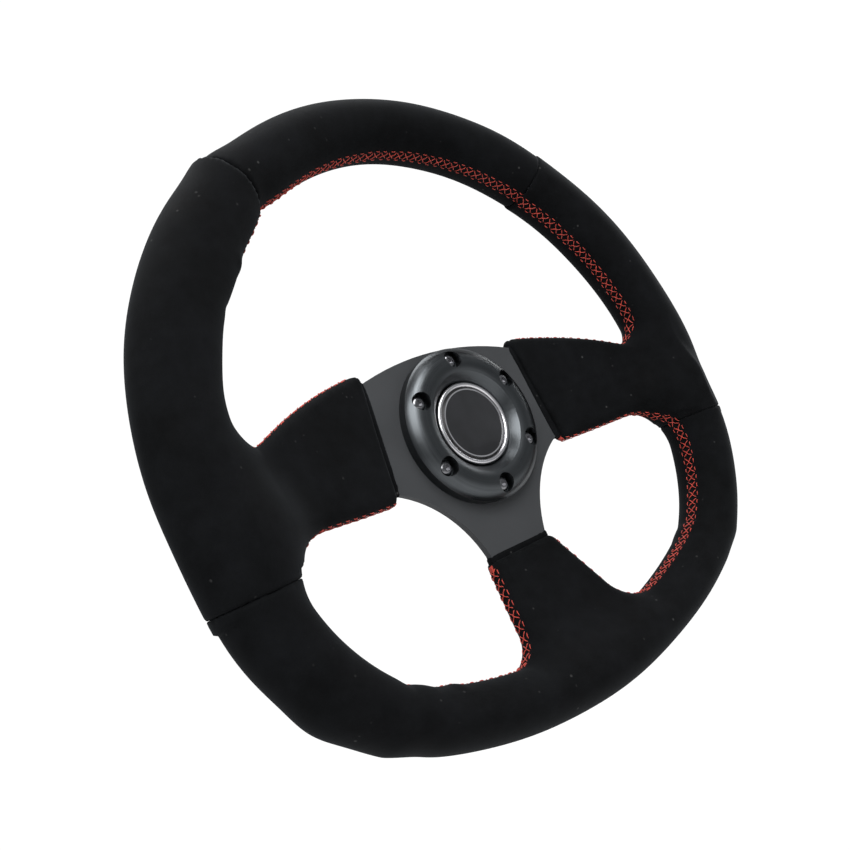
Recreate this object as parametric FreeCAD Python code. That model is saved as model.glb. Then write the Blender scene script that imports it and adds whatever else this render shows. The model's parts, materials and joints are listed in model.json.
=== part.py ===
import FreeCAD, Part
import math
import os

from FreeCAD import Vector

os.makedirs("parts", exist_ok=True)

# Flat-bottomed steering wheel with a ball-lock quick-release hub.
# Frame: origin at the centre of the hub's mouth, +Y towards the steering column,
# -Y towards the driver, +Z to the top of the wheel, +X to the driver's right.
# "Forward" below means towards the driver. All sizes are in millimetres.

# ---- Rim -------------------------------------------------------------------
RIM_DIAMETER = 350.0        # outside of the side grips
RIM_RISE = 5.0              # rim centre above the bolt-circle centre
FLAT_CUT = 19.6             # how far the flat bottom is raised above the full circle
FLAT_ARC_RADIUS = 262.0     # centre line of the nearly flat bottom
CORNER_RADIUS = 44.0        # centre line between the circle and the flat bottom
TOP_GRIP_RADIUS = 16.0      # section of the padded rim, at the top
SIDE_GRIP_RADIUS = 19.0     # at the hand grips
LOWER_GRIP_RADIUS = 15.5    # round the lower corners
SEAM_STEP = 0.7             # the side grips stand this far proud at the upper seams
GRIP_SWELL = 30.0           # degrees over which the side grips reach their full section
BOTTOM_GRIP_RADIUS = 14.8   # at the middle of the flat bottom
DISH = 25.4                 # rim centre plane forward of the spoke plate's middle
UPPER_SEAM = 36.8           # seams between the suede panels, degrees from the top
LOWER_SEAM = 103.8
SUEDE = 1.4                 # suede thickness
HOOP_RADIUS = 6.0           # round steel hoop inside the rim

# ---- Spoke frame -----------------------------------------------------------
PLATE_THICKNESS = 4.0
PLATE_TOP = 44.0            # top of the plate on the centre line
SIDE_ROOT = 55.0            # where suede begins on the side spokes
SIDE_ROOT_TOP = 36.4
SIDE_ROOT_BOTTOM = -21.3
SIDE_ROOT_SLANT = 3.0       # the suede's edge leans outwards by this much at its ends
BOTTOM_ROOT = 65.8          # where suede begins on the bottom spoke
BOTTOM_ROOT_HALF = 20.6
WEB_CURVE = Vector(36.8, 0, -36.3)  # a point on the curved edge between two spokes
HEM_WIDTH = 8.5             # flat band of suede next to the bare plate
ARM_TIP_HALF = 13.0         # half width of an arm where it meets the hoop

# ---- Spoke padding ---------------------------------------------------------
PAD_ROOT_THICKNESS = 14.0
PAD_TIP_THICKNESS = 27.0
PAD_ROOT_GROWTH = 1.8       # padding stands this far past the hem band's edges
SIDE_PAD_TIP_TOP = 15.0
SIDE_PAD_TIP_BOTTOM = -24.5
BOTTOM_PAD_TIP_HALF = 35.0
PAD_CORNER = 5.0            # rounding of the padding's edges

# ---- Stitching around the openings -----------------------------------------
STITCH_WIDTH = 5.2
STITCH_HEIGHT = 0.8
STITCH_SINK = 0.35          # the thread bites this far into the suede
STITCH_START = 0.02         # where a spoke's stitching begins, as a share of its edge
SIDE_STITCH_SHARE = 0.68    # where it ends, near the rim
BOTTOM_STITCH_SHARE = 0.65
STITCH_SEAM_GAP = 0.4       # degrees left free at a seam
SPOKE_TOP_TURN = 80.0       # rim stitching stops here, above the side spokes
SPOKE_BOTTOM_TURN = 169.0   # and here, beside the bottom spoke

# ---- Horn ring and its screws -----------------------------------------------
BOLT_CIRCLE = 70.0
BOLT_COUNT = 6
BOLT_HOLE_RADIUS = 2.7
THREAD_RADIUS = 2.1
SCREW_HEAD_RADIUS = 4.3
SCREW_HEAD_HEIGHT = 2.7
SCREW_RIM = 0.6             # straight edge of the head under its dome
SCREW_FACE_SHARE = 0.45     # flat top of the head, as a share of its radius
SCREW_DOME_SHARES = (0.82, 0.72)    # a point on the dome, as shares of radius and height
SCREW_REACH = 8.0           # screw shank behind the plate's front face
HEX_SOCKET = 3.0            # across flats
SOCKET_SHARE = 0.6          # socket depth, as a share of the head's height
COUNTERBORE_FLOOR = 5.0     # above the plate's front face
BEZEL_MARGIN = 7.5          # horn ring outside the bolt circle
BEZEL_WALL = 5.4            # height of the ring's straight outer wall
BEZEL_HEIGHT = 10.2
BEZEL_CROWN = 4.2           # a point on the domed top, in from the wall
BEZEL_CROWN_DROP = 0.9      # and below the ring's full height
BEZEL_LIP_HEIGHT = 9.5      # inner crest, where the bowl begins
BOWL_WIDTH = 4.4            # from the crest in to the bore
BOWL_STEP = 1.1             # a point on the bowl, out from the bore
BOWL_RISE = 1.6             # and above its foot
BEZEL_BORE_HEIGHT = 4.2

# ---- Horn button ------------------------------------------------------------
BUTTON_RADIUS = 22.8
BUTTON_FACE = 6.0           # front of the button above the plate's front face
BUTTON_TRAVEL = 1.5
TRIM_WIDTH = 2.6            # bright ring around the cap
TRIM_ROUND = 0.9            # height of its rounded face
EMBLEM_RING_WIDTH = 0.7
EMBLEM_RING_DROP = 0.1      # below the trim ring's crest
EMBLEM_GROOVE = 1.2         # between the trim ring and the emblem's ring
EMBLEM_DROP = 0.4
EMBLEM_DOME = 0.8
CAP_BACK = 0.5              # behind the plate's front face
CAP_FLANGE_TOP = 1.5        # above the plate's front face
CAP_SEAT = 4.6              # where the emblem sits
HOUSING_WALL = 0.7
HOUSING_LEDGE = 2.0         # clamped flange outside the housing's wall
HOUSING_FLANGE = 2.0
HOUSING_FLOOR = 1.5         # floor of the housing's wide part
HOUSING_NECK_RADIUS = 18.2
HOUSING_DEPTH = 12.0        # behind the plate's front face
HOUSING_BASE = 2.0
STEM_RADIUS = 3.0
STEM_GROOVE = 1.0           # depth of the snap ring's groove
STEM_TAIL = 0.7             # stem behind the groove
SNAP_RING = 0.8
SNAP_RING_WIDTH = 2.5
CONTACT_PLATE = 0.8
CONTACT_MARGIN = 4.5        # contact plate outside the terminals' centres
TERMINAL_OFFSET = 7.5
TERMINAL_RADIUS = 1.8
BLADE_WIDTH = 4.8
BLADE_THICKNESS = 0.8
BLADE_LENGTH = 5.0
HORN_WIRE = 0.4             # wire radius of the button's spring
HORN_TURNS = 5

# ---- Quick-release hub --------------------------------------------------------
HUB_MARGIN = 6.0            # flange outside the bolt circle
HUB_FLANGE = 5.0
HUB_LENGTH = 38.0           # plate's back face to the mouth
SLEEVE_WALL = 4.0
PILOT_RADIUS = 17.5         # bore at the mouth that seats on the column hub
PILOT_LENGTH = 9.0
RELIEF = 0.5                # bore behind the pilot, deeper by this much
RECESS_SPACE = 1.0          # free space behind the horn housing
HUB_WEB = 3.0               # wall between the horn recess and the bore
HUB_WEB_MARGIN = 1.5        # its hole, outside the terminals' centres
SPLINE_COUNT = 12
SPLINE_LENGTH = 6.0
SPLINE_HEIGHT = 2.0
SPLINE_WIDTH = 4.0
BALL_COUNT = 6
BALL_RADIUS = 3.0
BALL_PLANE = 14.8           # balls forward of the mouth
BALL_PROTRUSION = 1.2       # locked balls stand this far inside the pilot bore
BALL_LIP_STEP = 0.1         # the hole's inner lip keeps the ball in
BALL_LIP = 0.35
COLLAR_TRAVEL = 6.0
RAMP_SLOPE = 0.3            # outward ball travel for each millimetre of collar travel
RAMP_RUN = 1.0              # ramp past the balls at full travel
COLLAR_WALL = 6.0
COLLAR_GRIP = 4.5           # grip ring outside the collar
COLLAR_GRIP_WIDTH = 6.0
COLLAR_FRONT_WALL = 3.1
COLLAR_REAR_WALL = 2.0
COLLAR_CHAMFER = 1.0
COLLAR_NOTCHES = 36
COLLAR_NOTCH = 1.2          # radius of a finger notch
COLLAR_NOTCH_SET = 0.4      # its centre, outside the grip ring
CIRCLIP_PLANE = 3.4         # circlip's forward face, forward of the mouth
CIRCLIP = 1.2
CIRCLIP_DEPTH = 1.2
CIRCLIP_HEIGHT = 2.2        # how far the circlip stands outside the sleeve
CIRCLIP_GAP = 8.0           # between its ends
COLLAR_WIRE = 0.7           # wire radius of the collar's spring
COLLAR_TURNS = 3

# ---- Clearances ------------------------------------------------------------
RUNNING = 0.05              # radial running clearance
AXIAL = 0.1                 # end clearance of sliding pieces
THREAD_GAP = 0.02           # screw shank in its thread
SCREW_HEAD_GAP = 0.7        # screw head in its counterbore
BUTTON_GAP = 0.5            # horn button in the horn ring
NECK_GAP = 0.3              # horn housing in the hub
SPRING_GAP = 0.6            # coil springs around what they ride on
OVERCUT = 1.0               # cutting tools run past a face by this much

# ---- Derived places --------------------------------------------------------
PLATE_BACK = -HUB_LENGTH
PLATE_FRONT = PLATE_BACK - PLATE_THICKNESS
PLATE_MIDDLE = PLATE_FRONT + PLATE_THICKNESS / 2
RIM_PLANE = PLATE_MIDDLE - DISH
RING_RADIUS = RIM_DIAMETER / 2 - SIDE_GRIP_RADIUS
FLAT_BOTTOM = RIM_RISE - RING_RADIUS + FLAT_CUT
SIDE_PAD_ROOT = SIDE_ROOT + HEM_WIDTH
BOTTOM_PAD_ROOT = BOTTOM_ROOT + HEM_WIDTH
BOLT_RADIUS = BOLT_CIRCLE / 2
COUNTERBORE_RADIUS = SCREW_HEAD_RADIUS + SCREW_HEAD_GAP
BEZEL_RADIUS = BOLT_RADIUS + BEZEL_MARGIN
BEZEL_BORE = BUTTON_RADIUS + BUTTON_GAP
BEZEL_LIP_RADIUS = BEZEL_BORE + BOWL_WIDTH
TRIM_BORE = BUTTON_RADIUS - TRIM_WIDTH
EMBLEM_RADIUS = TRIM_BORE - EMBLEM_GROOVE - EMBLEM_RING_WIDTH
HOUSING_RADIUS = BEZEL_BORE + HOUSING_WALL
HOUSING_FLANGE_RADIUS = HOUSING_RADIUS + HOUSING_LEDGE
BASE_TOP = HOUSING_DEPTH - HOUSING_BASE
STEM_CORE = STEM_RADIUS - STEM_GROOVE
HUB_FLANGE_RADIUS = BOLT_RADIUS + HUB_MARGIN
SLEEVE_RADIUS = PILOT_RADIUS + SLEEVE_WALL
RELIEF_RADIUS = PILOT_RADIUS + RELIEF
BALL_CENTRE = PILOT_RADIUS - BALL_PROTRUSION + BALL_RADIUS
COLLAR_RADIUS = SLEEVE_RADIUS + COLLAR_WALL
COLLAR_GRIP_RADIUS = COLLAR_RADIUS + COLLAR_GRIP
CIRCLIP_BED = SLEEVE_RADIUS - CIRCLIP_DEPTH
Y_AXIS = Vector(0, 1, 0)


# ---- Small helpers ---------------------------------------------------------
def point(x, y, z):
    return Vector(x, y, z)


def save(shape, node):
    shape.exportStep("parts/" + node + ".step")


def turned(shape, degrees):
    """A copy turned about the hub axis."""
    copy = shape.copy()
    copy.rotate(Vector(0, 0, 0), Y_AXIS, degrees)
    return copy


def around(shape, count):
    """Copies of a shape, evenly spaced about the hub axis."""
    return [turned(shape, 360.0 * i / count) for i in range(count)]


def disc(radius, front, back, x=0.0, z=0.0):
    """A cylinder along the hub axis between two Y planes."""
    return Part.makeCylinder(radius, back - front, point(x, front, z), Y_AXIS)


def ring(outer, inner, front, back):
    return disc(outer, front, back).cut(disc(inner, front - OVERCUT, back + OVERCUT))


def prism(points, front, back):
    """A polygon of (x, z) corners, extruded along Y."""
    corners = [point(x, front, z) for x, z in points]
    face = Part.Face(Part.makePolygon(corners + corners[:1]))
    return face.extrude(Vector(0, back - front, 0))


def lathe(edges):
    """A face in the X-Y half plane, turned once about the hub axis."""
    return Part.Face(Part.Wire(edges)).revolve(Vector(0, 0, 0), Y_AXIS, 360)


def split(body, inner, outer, gap, front, back):
    """Opens a ring at the bottom, leaving this gap between its ends."""
    slot = prism([(-gap / 2, -inner), (gap / 2, -inner), (gap / 2, -outer), (-gap / 2, -outer)],
                 front - OVERCUT, back + OVERCUT)
    return body.cut(slot)


def lathe_points(points):
    """A turned piece from (radius, y) corners."""
    corners = [point(r, y, 0) for r, y in points]
    return lathe(Part.makePolygon(corners + corners[:1]).Edges)


def front_of_plate(height):
    """The Y place that stands this far forward of the plate's front face."""
    return PLATE_FRONT - height


# ---- Rim centre line -------------------------------------------------------
def corner_centre():
    """Centre of the corner arc that is tangent to the circle and to the flat arc."""
    to_ring = RING_RADIUS - CORNER_RADIUS
    to_flat = FLAT_ARC_RADIUS - CORNER_RADIUS
    flat_centre = FLAT_BOTTOM + FLAT_ARC_RADIUS
    squares = to_ring**2 - to_flat**2 + flat_centre**2 - RIM_RISE**2
    z = squares / (2 * (flat_centre - RIM_RISE))
    return math.sqrt(to_ring**2 - (z - RIM_RISE) ** 2), z


CORNER_X, CORNER_Z = corner_centre()
# Directions from the top, in degrees, where the corner arc begins and ends.
CORNER_START = 90 + math.degrees(math.atan2(RIM_RISE - CORNER_Z, CORNER_X))
FLAT_CENTRE = FLAT_BOTTOM + FLAT_ARC_RADIUS
CORNER_END = 90 + math.degrees(math.atan2(FLAT_CENTRE - CORNER_Z, CORNER_X))


def seam_turn(seam):
    """A seam is measured at the hub centre; this is its direction at the rim's centre."""
    angle = math.radians(seam)
    return seam + math.degrees(math.asin(RIM_RISE * math.sin(angle) / RING_RADIUS))


def centre_line(turn):
    """Rim centre line, x and z, where its outward normal has turned from the top.

    The right half has turns from 0 to 180 degrees, the left half from 0 to -180.
    """
    side = -1 if turn < 0 else 1
    turn = abs(turn)
    across = math.sin(math.radians(turn))
    up = math.cos(math.radians(turn))
    if turn <= CORNER_START:
        place = (RING_RADIUS * across, RIM_RISE + RING_RADIUS * up)
    elif turn <= CORNER_END:
        place = (CORNER_X + CORNER_RADIUS * across, CORNER_Z + CORNER_RADIUS * up)
    else:
        place = (FLAT_ARC_RADIUS * across, FLAT_CENTRE + FLAT_ARC_RADIUS * up)
    return side * place[0], place[1]


TOP_TURN = seam_turn(UPPER_SEAM)
LOW_TURN = seam_turn(LOWER_SEAM)


def eased(share):
    """A smooth step from 0 to 1."""
    return (1 - math.cos(math.pi * min(max(share, 0), 1))) / 2


def top_profile(turn):
    return TOP_GRIP_RADIUS


def side_profile(turn):
    """The side grips swell from the upper seam to their full section."""
    slim = TOP_GRIP_RADIUS + SEAM_STEP
    return slim + (SIDE_GRIP_RADIUS - slim) * eased((abs(turn) - TOP_TURN) / GRIP_SWELL)


def lower_profile(turn):
    """Slimmer towards the lower corners, then again to the middle of the flat bottom."""
    to_corner = eased((abs(turn) - LOW_TURN) / (CORNER_START - LOW_TURN))
    to_middle = eased((abs(turn) - CORNER_END) / (180 - CORNER_END))
    radius = SIDE_GRIP_RADIUS + (LOWER_GRIP_RADIUS - SIDE_GRIP_RADIUS) * to_corner
    return radius + (BOTTOM_GRIP_RADIUS - LOWER_GRIP_RADIUS) * to_middle


def hoop_profile(turn):
    return HOOP_RADIUS


def section(turn, radius):
    """A round section of the rim, square to its centre line."""
    x, z = centre_line(turn)
    side = -1 if turn < 0 else 1
    angle = math.radians(abs(turn))
    along = Vector(side * math.cos(angle), 0, -math.sin(angle))
    return Part.Wire(Part.makeCircle(radius, point(x, RIM_PLANE, z), along))


def tube(first, last, steps, profile, inset=0.0):
    """A stretch of the rim between two turns, lofted through round sections."""
    turns = [first + (last - first) * i / steps for i in range(steps + 1)]
    return Part.makeLoft([section(t, profile(t) - inset) for t in turns], True, False)


def lower_half(side, inset):
    """The rim from the lower seam round the corner to the middle of the flat."""
    stops = [LOW_TURN, CORNER_START, CORNER_END, 180.0]
    steps = [5, 7, 5]
    pieces = []
    for i in range(3):
        first, last = side * stops[i], side * stops[i + 1]
        pieces.append(tube(first, last, steps[i], lower_profile, inset))
    return pieces[0].fuse(pieces[1:])


# ---- Spokes ----------------------------------------------------------------
def side_reach(z):
    """X of the rim's centre line at height z."""
    return math.sqrt(RING_RADIUS**2 - (z - RIM_RISE) ** 2)


def rounded_section(a_low, a_high, thickness, y, place, corner):
    """A rounded rectangle: a runs across the spoke, y is its middle, place(a, y) a point."""
    low, high = y - thickness / 2, y + thickness / 2
    arc = corner * (1 - math.sqrt(0.5))
    ends = [
        (a_low + corner, low), (a_high - corner, low),
        (a_high - arc, low + arc), (a_high, low + corner),
        (a_high, high - corner), (a_high - arc, high - arc),
        (a_high - corner, high), (a_low + corner, high),
        (a_low + arc, high - arc), (a_low, high - corner),
        (a_low, low + corner), (a_low + arc, low + arc),
    ]
    p = [place(a, b) for a, b in ends]
    edges = []
    for i in (0, 3, 6, 9):
        after = p[(i + 4) % 12] if i == 9 else p[i + 4]
        start_of_next = p[(i + 3) % 12]
        edges.append(Part.LineSegment(p[i], p[i + 1]).toShape())
        edges.append(Part.Arc(p[i + 1], p[i + 2], start_of_next).toShape())
    return Part.Wire(edges)


def side_pad(side, inset):
    """Padding of a side spoke, from behind its hem band to the rim's centre line."""
    root = SIDE_PAD_ROOT + inset
    tip = side_reach(0)
    grow = PAD_ROOT_GROWTH - inset
    corner = PAD_CORNER - inset
    root_wire = rounded_section(
        SIDE_ROOT_BOTTOM - grow, SIDE_ROOT_TOP + grow, PAD_ROOT_THICKNESS - 2 * inset,
        PLATE_MIDDLE, lambda a, y: point(side * root, y, a), corner)
    tip_wire = rounded_section(
        SIDE_PAD_TIP_BOTTOM + inset, SIDE_PAD_TIP_TOP - inset,
        PAD_TIP_THICKNESS - 2 * inset,
        RIM_PLANE, lambda a, y: point(side * tip, y, a), corner)
    return Part.makeLoft([root_wire, tip_wire], True, True)


def bottom_pad(inset):
    """Padding of the bottom spoke."""
    root = -(BOTTOM_PAD_ROOT + inset)
    grow = PAD_ROOT_GROWTH - inset
    corner = PAD_CORNER - inset
    root_half = BOTTOM_ROOT_HALF + grow
    tip_half = BOTTOM_PAD_TIP_HALF - inset
    root_wire = rounded_section(
        -root_half, root_half, PAD_ROOT_THICKNESS - 2 * inset,
        PLATE_MIDDLE, lambda a, y: point(a, y, root), corner)
    tip_wire = rounded_section(
        -tip_half, tip_half, PAD_TIP_THICKNESS - 2 * inset,
        RIM_PLANE, lambda a, y: point(a, y, FLAT_BOTTOM), corner)
    return Part.makeLoft([root_wire, tip_wire], True, True)


def block(corners_a, corners_b):
    """A solid lofted between two four-cornered faces."""
    wires = [Part.makePolygon(c + c[:1]) for c in (corners_a, corners_b)]
    return Part.makeLoft(wires, True, True)


def face_corners(a_low, a_high, middle, place):
    """Four corners of a plate-thick rectangle."""
    low, high = middle - PLATE_THICKNESS / 2, middle + PLATE_THICKNESS / 2
    return [place(a_low, low), place(a_high, low), place(a_high, high), place(a_low, high)]


def side_arm(side):
    """The inclined part of a side arm, which runs inside the padding to the hoop."""
    root = face_corners(
        SIDE_ROOT_BOTTOM, SIDE_ROOT_TOP - SUEDE - PAD_ROOT_GROWTH, PLATE_MIDDLE,
        lambda a, y: point(side * SIDE_PAD_ROOT, y, a))
    middle = (SIDE_PAD_TIP_TOP + SIDE_PAD_TIP_BOTTOM) / 2
    tip = face_corners(
        middle - ARM_TIP_HALF, middle + ARM_TIP_HALF, RIM_PLANE,
        lambda a, y: point(side * side_reach(0), y, a))
    return block(root, tip)


def bottom_arm():
    """The inclined part of the bottom arm."""
    root = face_corners(
        -BOTTOM_ROOT_HALF, BOTTOM_ROOT_HALF, PLATE_MIDDLE,
        lambda a, y: point(a, y, -BOTTOM_PAD_ROOT))
    tip = face_corners(
        -ARM_TIP_HALF, ARM_TIP_HALF, RIM_PLANE,
        lambda a, y: point(a, y, FLAT_BOTTOM))
    return block(root, tip)


def top_edge_height(x):
    """Height of the plate's arched top edge at x."""
    half = SIDE_ROOT - SIDE_ROOT_SLANT
    drop = PLATE_TOP - SIDE_ROOT_TOP
    arch = (half**2 + drop**2) / (2 * drop)
    return PLATE_TOP - arch + math.sqrt(arch**2 - x**2)


def plate_outline():
    """The flat centre of the spoke frame: arched top, two curved webs, three stubs."""
    end = SIDE_PAD_ROOT
    shoulder = SIDE_ROOT + SIDE_ROOT_SLANT
    top = top_edge_height(end)
    hip = Vector(BOTTOM_ROOT_HALF, 0, -BOTTOM_ROOT)
    edges = [
        Part.Arc(point(-end, 0, top), point(0, 0, PLATE_TOP), point(end, 0, top)),
        Part.LineSegment(point(end, 0, top), point(end, 0, SIDE_ROOT_BOTTOM)),
        Part.LineSegment(point(end, 0, SIDE_ROOT_BOTTOM), point(shoulder, 0, SIDE_ROOT_BOTTOM)),
        Part.Arc(point(shoulder, 0, SIDE_ROOT_BOTTOM), WEB_CURVE, hip),
        Part.LineSegment(hip, point(hip.x, 0, -BOTTOM_PAD_ROOT)),
        Part.LineSegment(point(hip.x, 0, -BOTTOM_PAD_ROOT), point(-hip.x, 0, -BOTTOM_PAD_ROOT)),
        Part.LineSegment(point(-hip.x, 0, -BOTTOM_PAD_ROOT), point(-hip.x, 0, hip.z)),
        Part.Arc(point(-hip.x, 0, hip.z), point(-WEB_CURVE.x, 0, WEB_CURVE.z),
                 point(-shoulder, 0, SIDE_ROOT_BOTTOM)),
        Part.LineSegment(point(-shoulder, 0, SIDE_ROOT_BOTTOM), point(-end, 0, SIDE_ROOT_BOTTOM)),
        Part.LineSegment(point(-end, 0, SIDE_ROOT_BOTTOM), point(-end, 0, top)),
    ]
    return Part.Wire([e.toShape() for e in edges])


def flat_plate(front, back, grow=0.0):
    wire = plate_outline()
    if grow:
        wire = wire.makeOffset2D(grow)
    wire.translate(Vector(0, front, 0))
    return Part.Face(wire).extrude(Vector(0, back - front, 0))


def bolt_holes(radius, front, back):
    return around(disc(radius, front, back, z=BOLT_RADIUS), BOLT_COUNT)


def spoke_frame(hoop):
    plate = flat_plate(PLATE_FRONT, PLATE_BACK)
    plate = plate.fuse([side_arm(-1), side_arm(1), bottom_arm()]).removeSplitter()
    front, back = PLATE_FRONT - OVERCUT, PLATE_BACK + OVERCUT
    holes = bolt_holes(BOLT_HOLE_RADIUS, front, back)
    centre = disc(HOUSING_RADIUS + RUNNING, front, back)
    return plate.cut([hoop, centre] + holes)


# ---- Rim pieces ------------------------------------------------------------
def rim_hoop():
    upper = tube(-CORNER_START, CORNER_START, 24, hoop_profile)
    halves = []
    for side in (-1, 1):
        for first, last, steps in ((CORNER_START, CORNER_END, 7), (CORNER_END, 180.0, 4)):
            halves.append(tube(side * first, side * last, steps, hoop_profile))
    return upper.fuse(halves)


def top_tube(inset):
    return tube(-TOP_TURN, TOP_TURN, 10, top_profile, inset)


def side_tube(side, inset):
    return tube(side * TOP_TURN, side * LOW_TURN, 9, side_profile, inset)


def side_solid(side, inset):
    return side_tube(side, inset).fuse(side_pad(side, inset))


def bottom_solid(inset):
    halves = [lower_half(side, inset) for side in (-1, 1)]
    return halves[0].fuse([halves[1], bottom_pad(inset)])


def foam_padding(frame, hoop):
    """One moulded foam piece around the hoop and the three arms."""
    foam = top_tube(SUEDE).fuse([side_solid(-1, SUEDE), side_solid(1, SUEDE), bottom_solid(SUEDE)])
    return foam.cut([frame, hoop])


# ---- Hem bands and stitching -----------------------------------------------
def hem_region(name):
    """The stretch of plate that a hem band wraps, as a tall block along Y."""
    margin = 2 * SUEDE
    front, back = PLATE_FRONT - margin, PLATE_BACK + margin
    if name == "bottom":
        half = BOTTOM_ROOT_HALF + margin
        return prism([(-half, -BOTTOM_ROOT), (half, -BOTTOM_ROOT),
                      (half, -BOTTOM_PAD_ROOT), (-half, -BOTTOM_PAD_ROOT)], front, back)
    side = -1 if name == "left" else 1
    low, high = SIDE_ROOT_BOTTOM - margin, SIDE_ROOT_TOP + margin
    return prism([(side * (SIDE_ROOT + SIDE_ROOT_SLANT), low),
                  (side * (SIDE_ROOT - SIDE_ROOT_SLANT), high),
                  (side * SIDE_PAD_ROOT, high), (side * SIDE_PAD_ROOT, low)], front, back)


def hem(name):
    """A sleeve of suede, one thickness deep all round a stub of the plate."""
    skin = flat_plate(PLATE_FRONT - SUEDE, PLATE_BACK + SUEDE, SUEDE)
    core = flat_plate(PLATE_FRONT, PLATE_BACK)
    return skin.common(hem_region(name)).cut(core)



def stitch_band(stations):
    """A flat band of thread lofted through (point, outward direction) stations."""
    wires = []
    for place, out in stations:
        low = place - out * STITCH_SINK
        high = place + out * (STITCH_HEIGHT - STITCH_SINK)
        half = Vector(0, STITCH_WIDTH / 2, 0)
        corners = [low - half, low + half, high + half, high - half]
        wires.append(Part.makePolygon(corners + corners[:1]))
    return Part.makeLoft(wires, True, len(wires) == 2)


def rim_stitch(first, last, steps, profile):
    """Stitching along the inner middle of the rim between two turns."""
    stations = []
    for i in range(steps + 1):
        turn = first + (last - first) * i / steps
        x, z = centre_line(turn)
        side = -1 if turn < 0 else 1
        angle = math.radians(abs(turn))
        inward = Vector(-side * math.sin(angle), 0, -math.cos(angle))
        stations.append((point(x, RIM_PLANE, z) + inward * profile(turn), inward))
    return stitch_band(stations)


def spoke_stitch(root, tip, out, last_share):
    """Stitching along a straight spoke edge, which faces out, towards the rim."""
    along = tip - root
    square = out - along * (out.dot(along) / along.dot(along))
    square.normalize()
    return stitch_band([(root + along * STITCH_START, square),
                        (root + along * last_share, square)])


def stitching(foam):
    """Bands of red thread around the three openings, as separate solids."""
    gap = STITCH_SEAM_GAP
    bands = [rim_stitch(-TOP_TURN + gap, TOP_TURN - gap, 12, top_profile)]
    up, down = Vector(0, 0, 1), Vector(0, 0, -1)
    reach = side_reach(0)
    for side in (-1, 1):
        stretches = (
            (TOP_TURN + gap, SPOKE_TOP_TURN, 8, side_profile),
            (LOW_TURN + gap, CORNER_START, 4, lower_profile),
            (CORNER_START + gap, CORNER_END - gap, 6, lower_profile),
            (CORNER_END + gap, SPOKE_BOTTOM_TURN, 3, lower_profile),
        )
        for first, last, steps, profile in stretches:
            bands.append(rim_stitch(side * first, side * last, steps, profile))
        root = side * SIDE_PAD_ROOT
        bands.append(spoke_stitch(
            point(root, PLATE_MIDDLE, SIDE_ROOT_TOP + PAD_ROOT_GROWTH),
            point(side * reach, RIM_PLANE, SIDE_PAD_TIP_TOP), up, SIDE_STITCH_SHARE))
        bands.append(spoke_stitch(
            point(root, PLATE_MIDDLE, SIDE_ROOT_BOTTOM - PAD_ROOT_GROWTH),
            point(side * reach, RIM_PLANE, SIDE_PAD_TIP_BOTTOM), down, SIDE_STITCH_SHARE))
        bands.append(spoke_stitch(
            point(side * (BOTTOM_ROOT_HALF + PAD_ROOT_GROWTH), PLATE_MIDDLE, -BOTTOM_PAD_ROOT),
            point(side * BOTTOM_PAD_TIP_HALF, RIM_PLANE, FLAT_BOTTOM),
            Vector(side, 0, 0), BOTTOM_STITCH_SHARE))
    return Part.makeCompound([band.cut(foam) for band in bands])


# ---- Horn ring and screws --------------------------------------------------
def horn_bezel():
    """Turned ring: straight wall, domed top, crest, then a bowl down to the button."""
    base = front_of_plate(0)
    wall = point(BEZEL_RADIUS, front_of_plate(BEZEL_WALL), 0)
    crown = point(BEZEL_RADIUS - BEZEL_CROWN, front_of_plate(BEZEL_HEIGHT - BEZEL_CROWN_DROP), 0)
    lip = point(BEZEL_LIP_RADIUS, front_of_plate(BEZEL_LIP_HEIGHT), 0)
    bowl = point(BEZEL_BORE + BOWL_STEP, front_of_plate(BEZEL_BORE_HEIGHT + BOWL_RISE), 0)
    bore = point(BEZEL_BORE, front_of_plate(BEZEL_BORE_HEIGHT), 0)
    recess = HOUSING_FLANGE_RADIUS + RUNNING
    step = front_of_plate(HOUSING_FLANGE)
    edges = [
        Part.LineSegment(point(BEZEL_RADIUS, base, 0), wall),
        Part.Arc(wall, crown, lip),
        Part.Arc(lip, bowl, bore),
        Part.LineSegment(bore, point(BEZEL_BORE, step, 0)),
        Part.LineSegment(point(BEZEL_BORE, step, 0), point(recess, step, 0)),
        Part.LineSegment(point(recess, step, 0), point(recess, base, 0)),
        Part.LineSegment(point(recess, base, 0), point(BEZEL_RADIUS, base, 0)),
    ]
    body = lathe([e.toShape() for e in edges])
    holes = bolt_holes(BOLT_HOLE_RADIUS, front_of_plate(COUNTERBORE_FLOOR + OVERCUT),
                       PLATE_FRONT + OVERCUT)
    pockets = bolt_holes(COUNTERBORE_RADIUS, front_of_plate(BEZEL_HEIGHT + OVERCUT),
                         front_of_plate(COUNTERBORE_FLOOR))
    return body.cut(holes + pockets)


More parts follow.
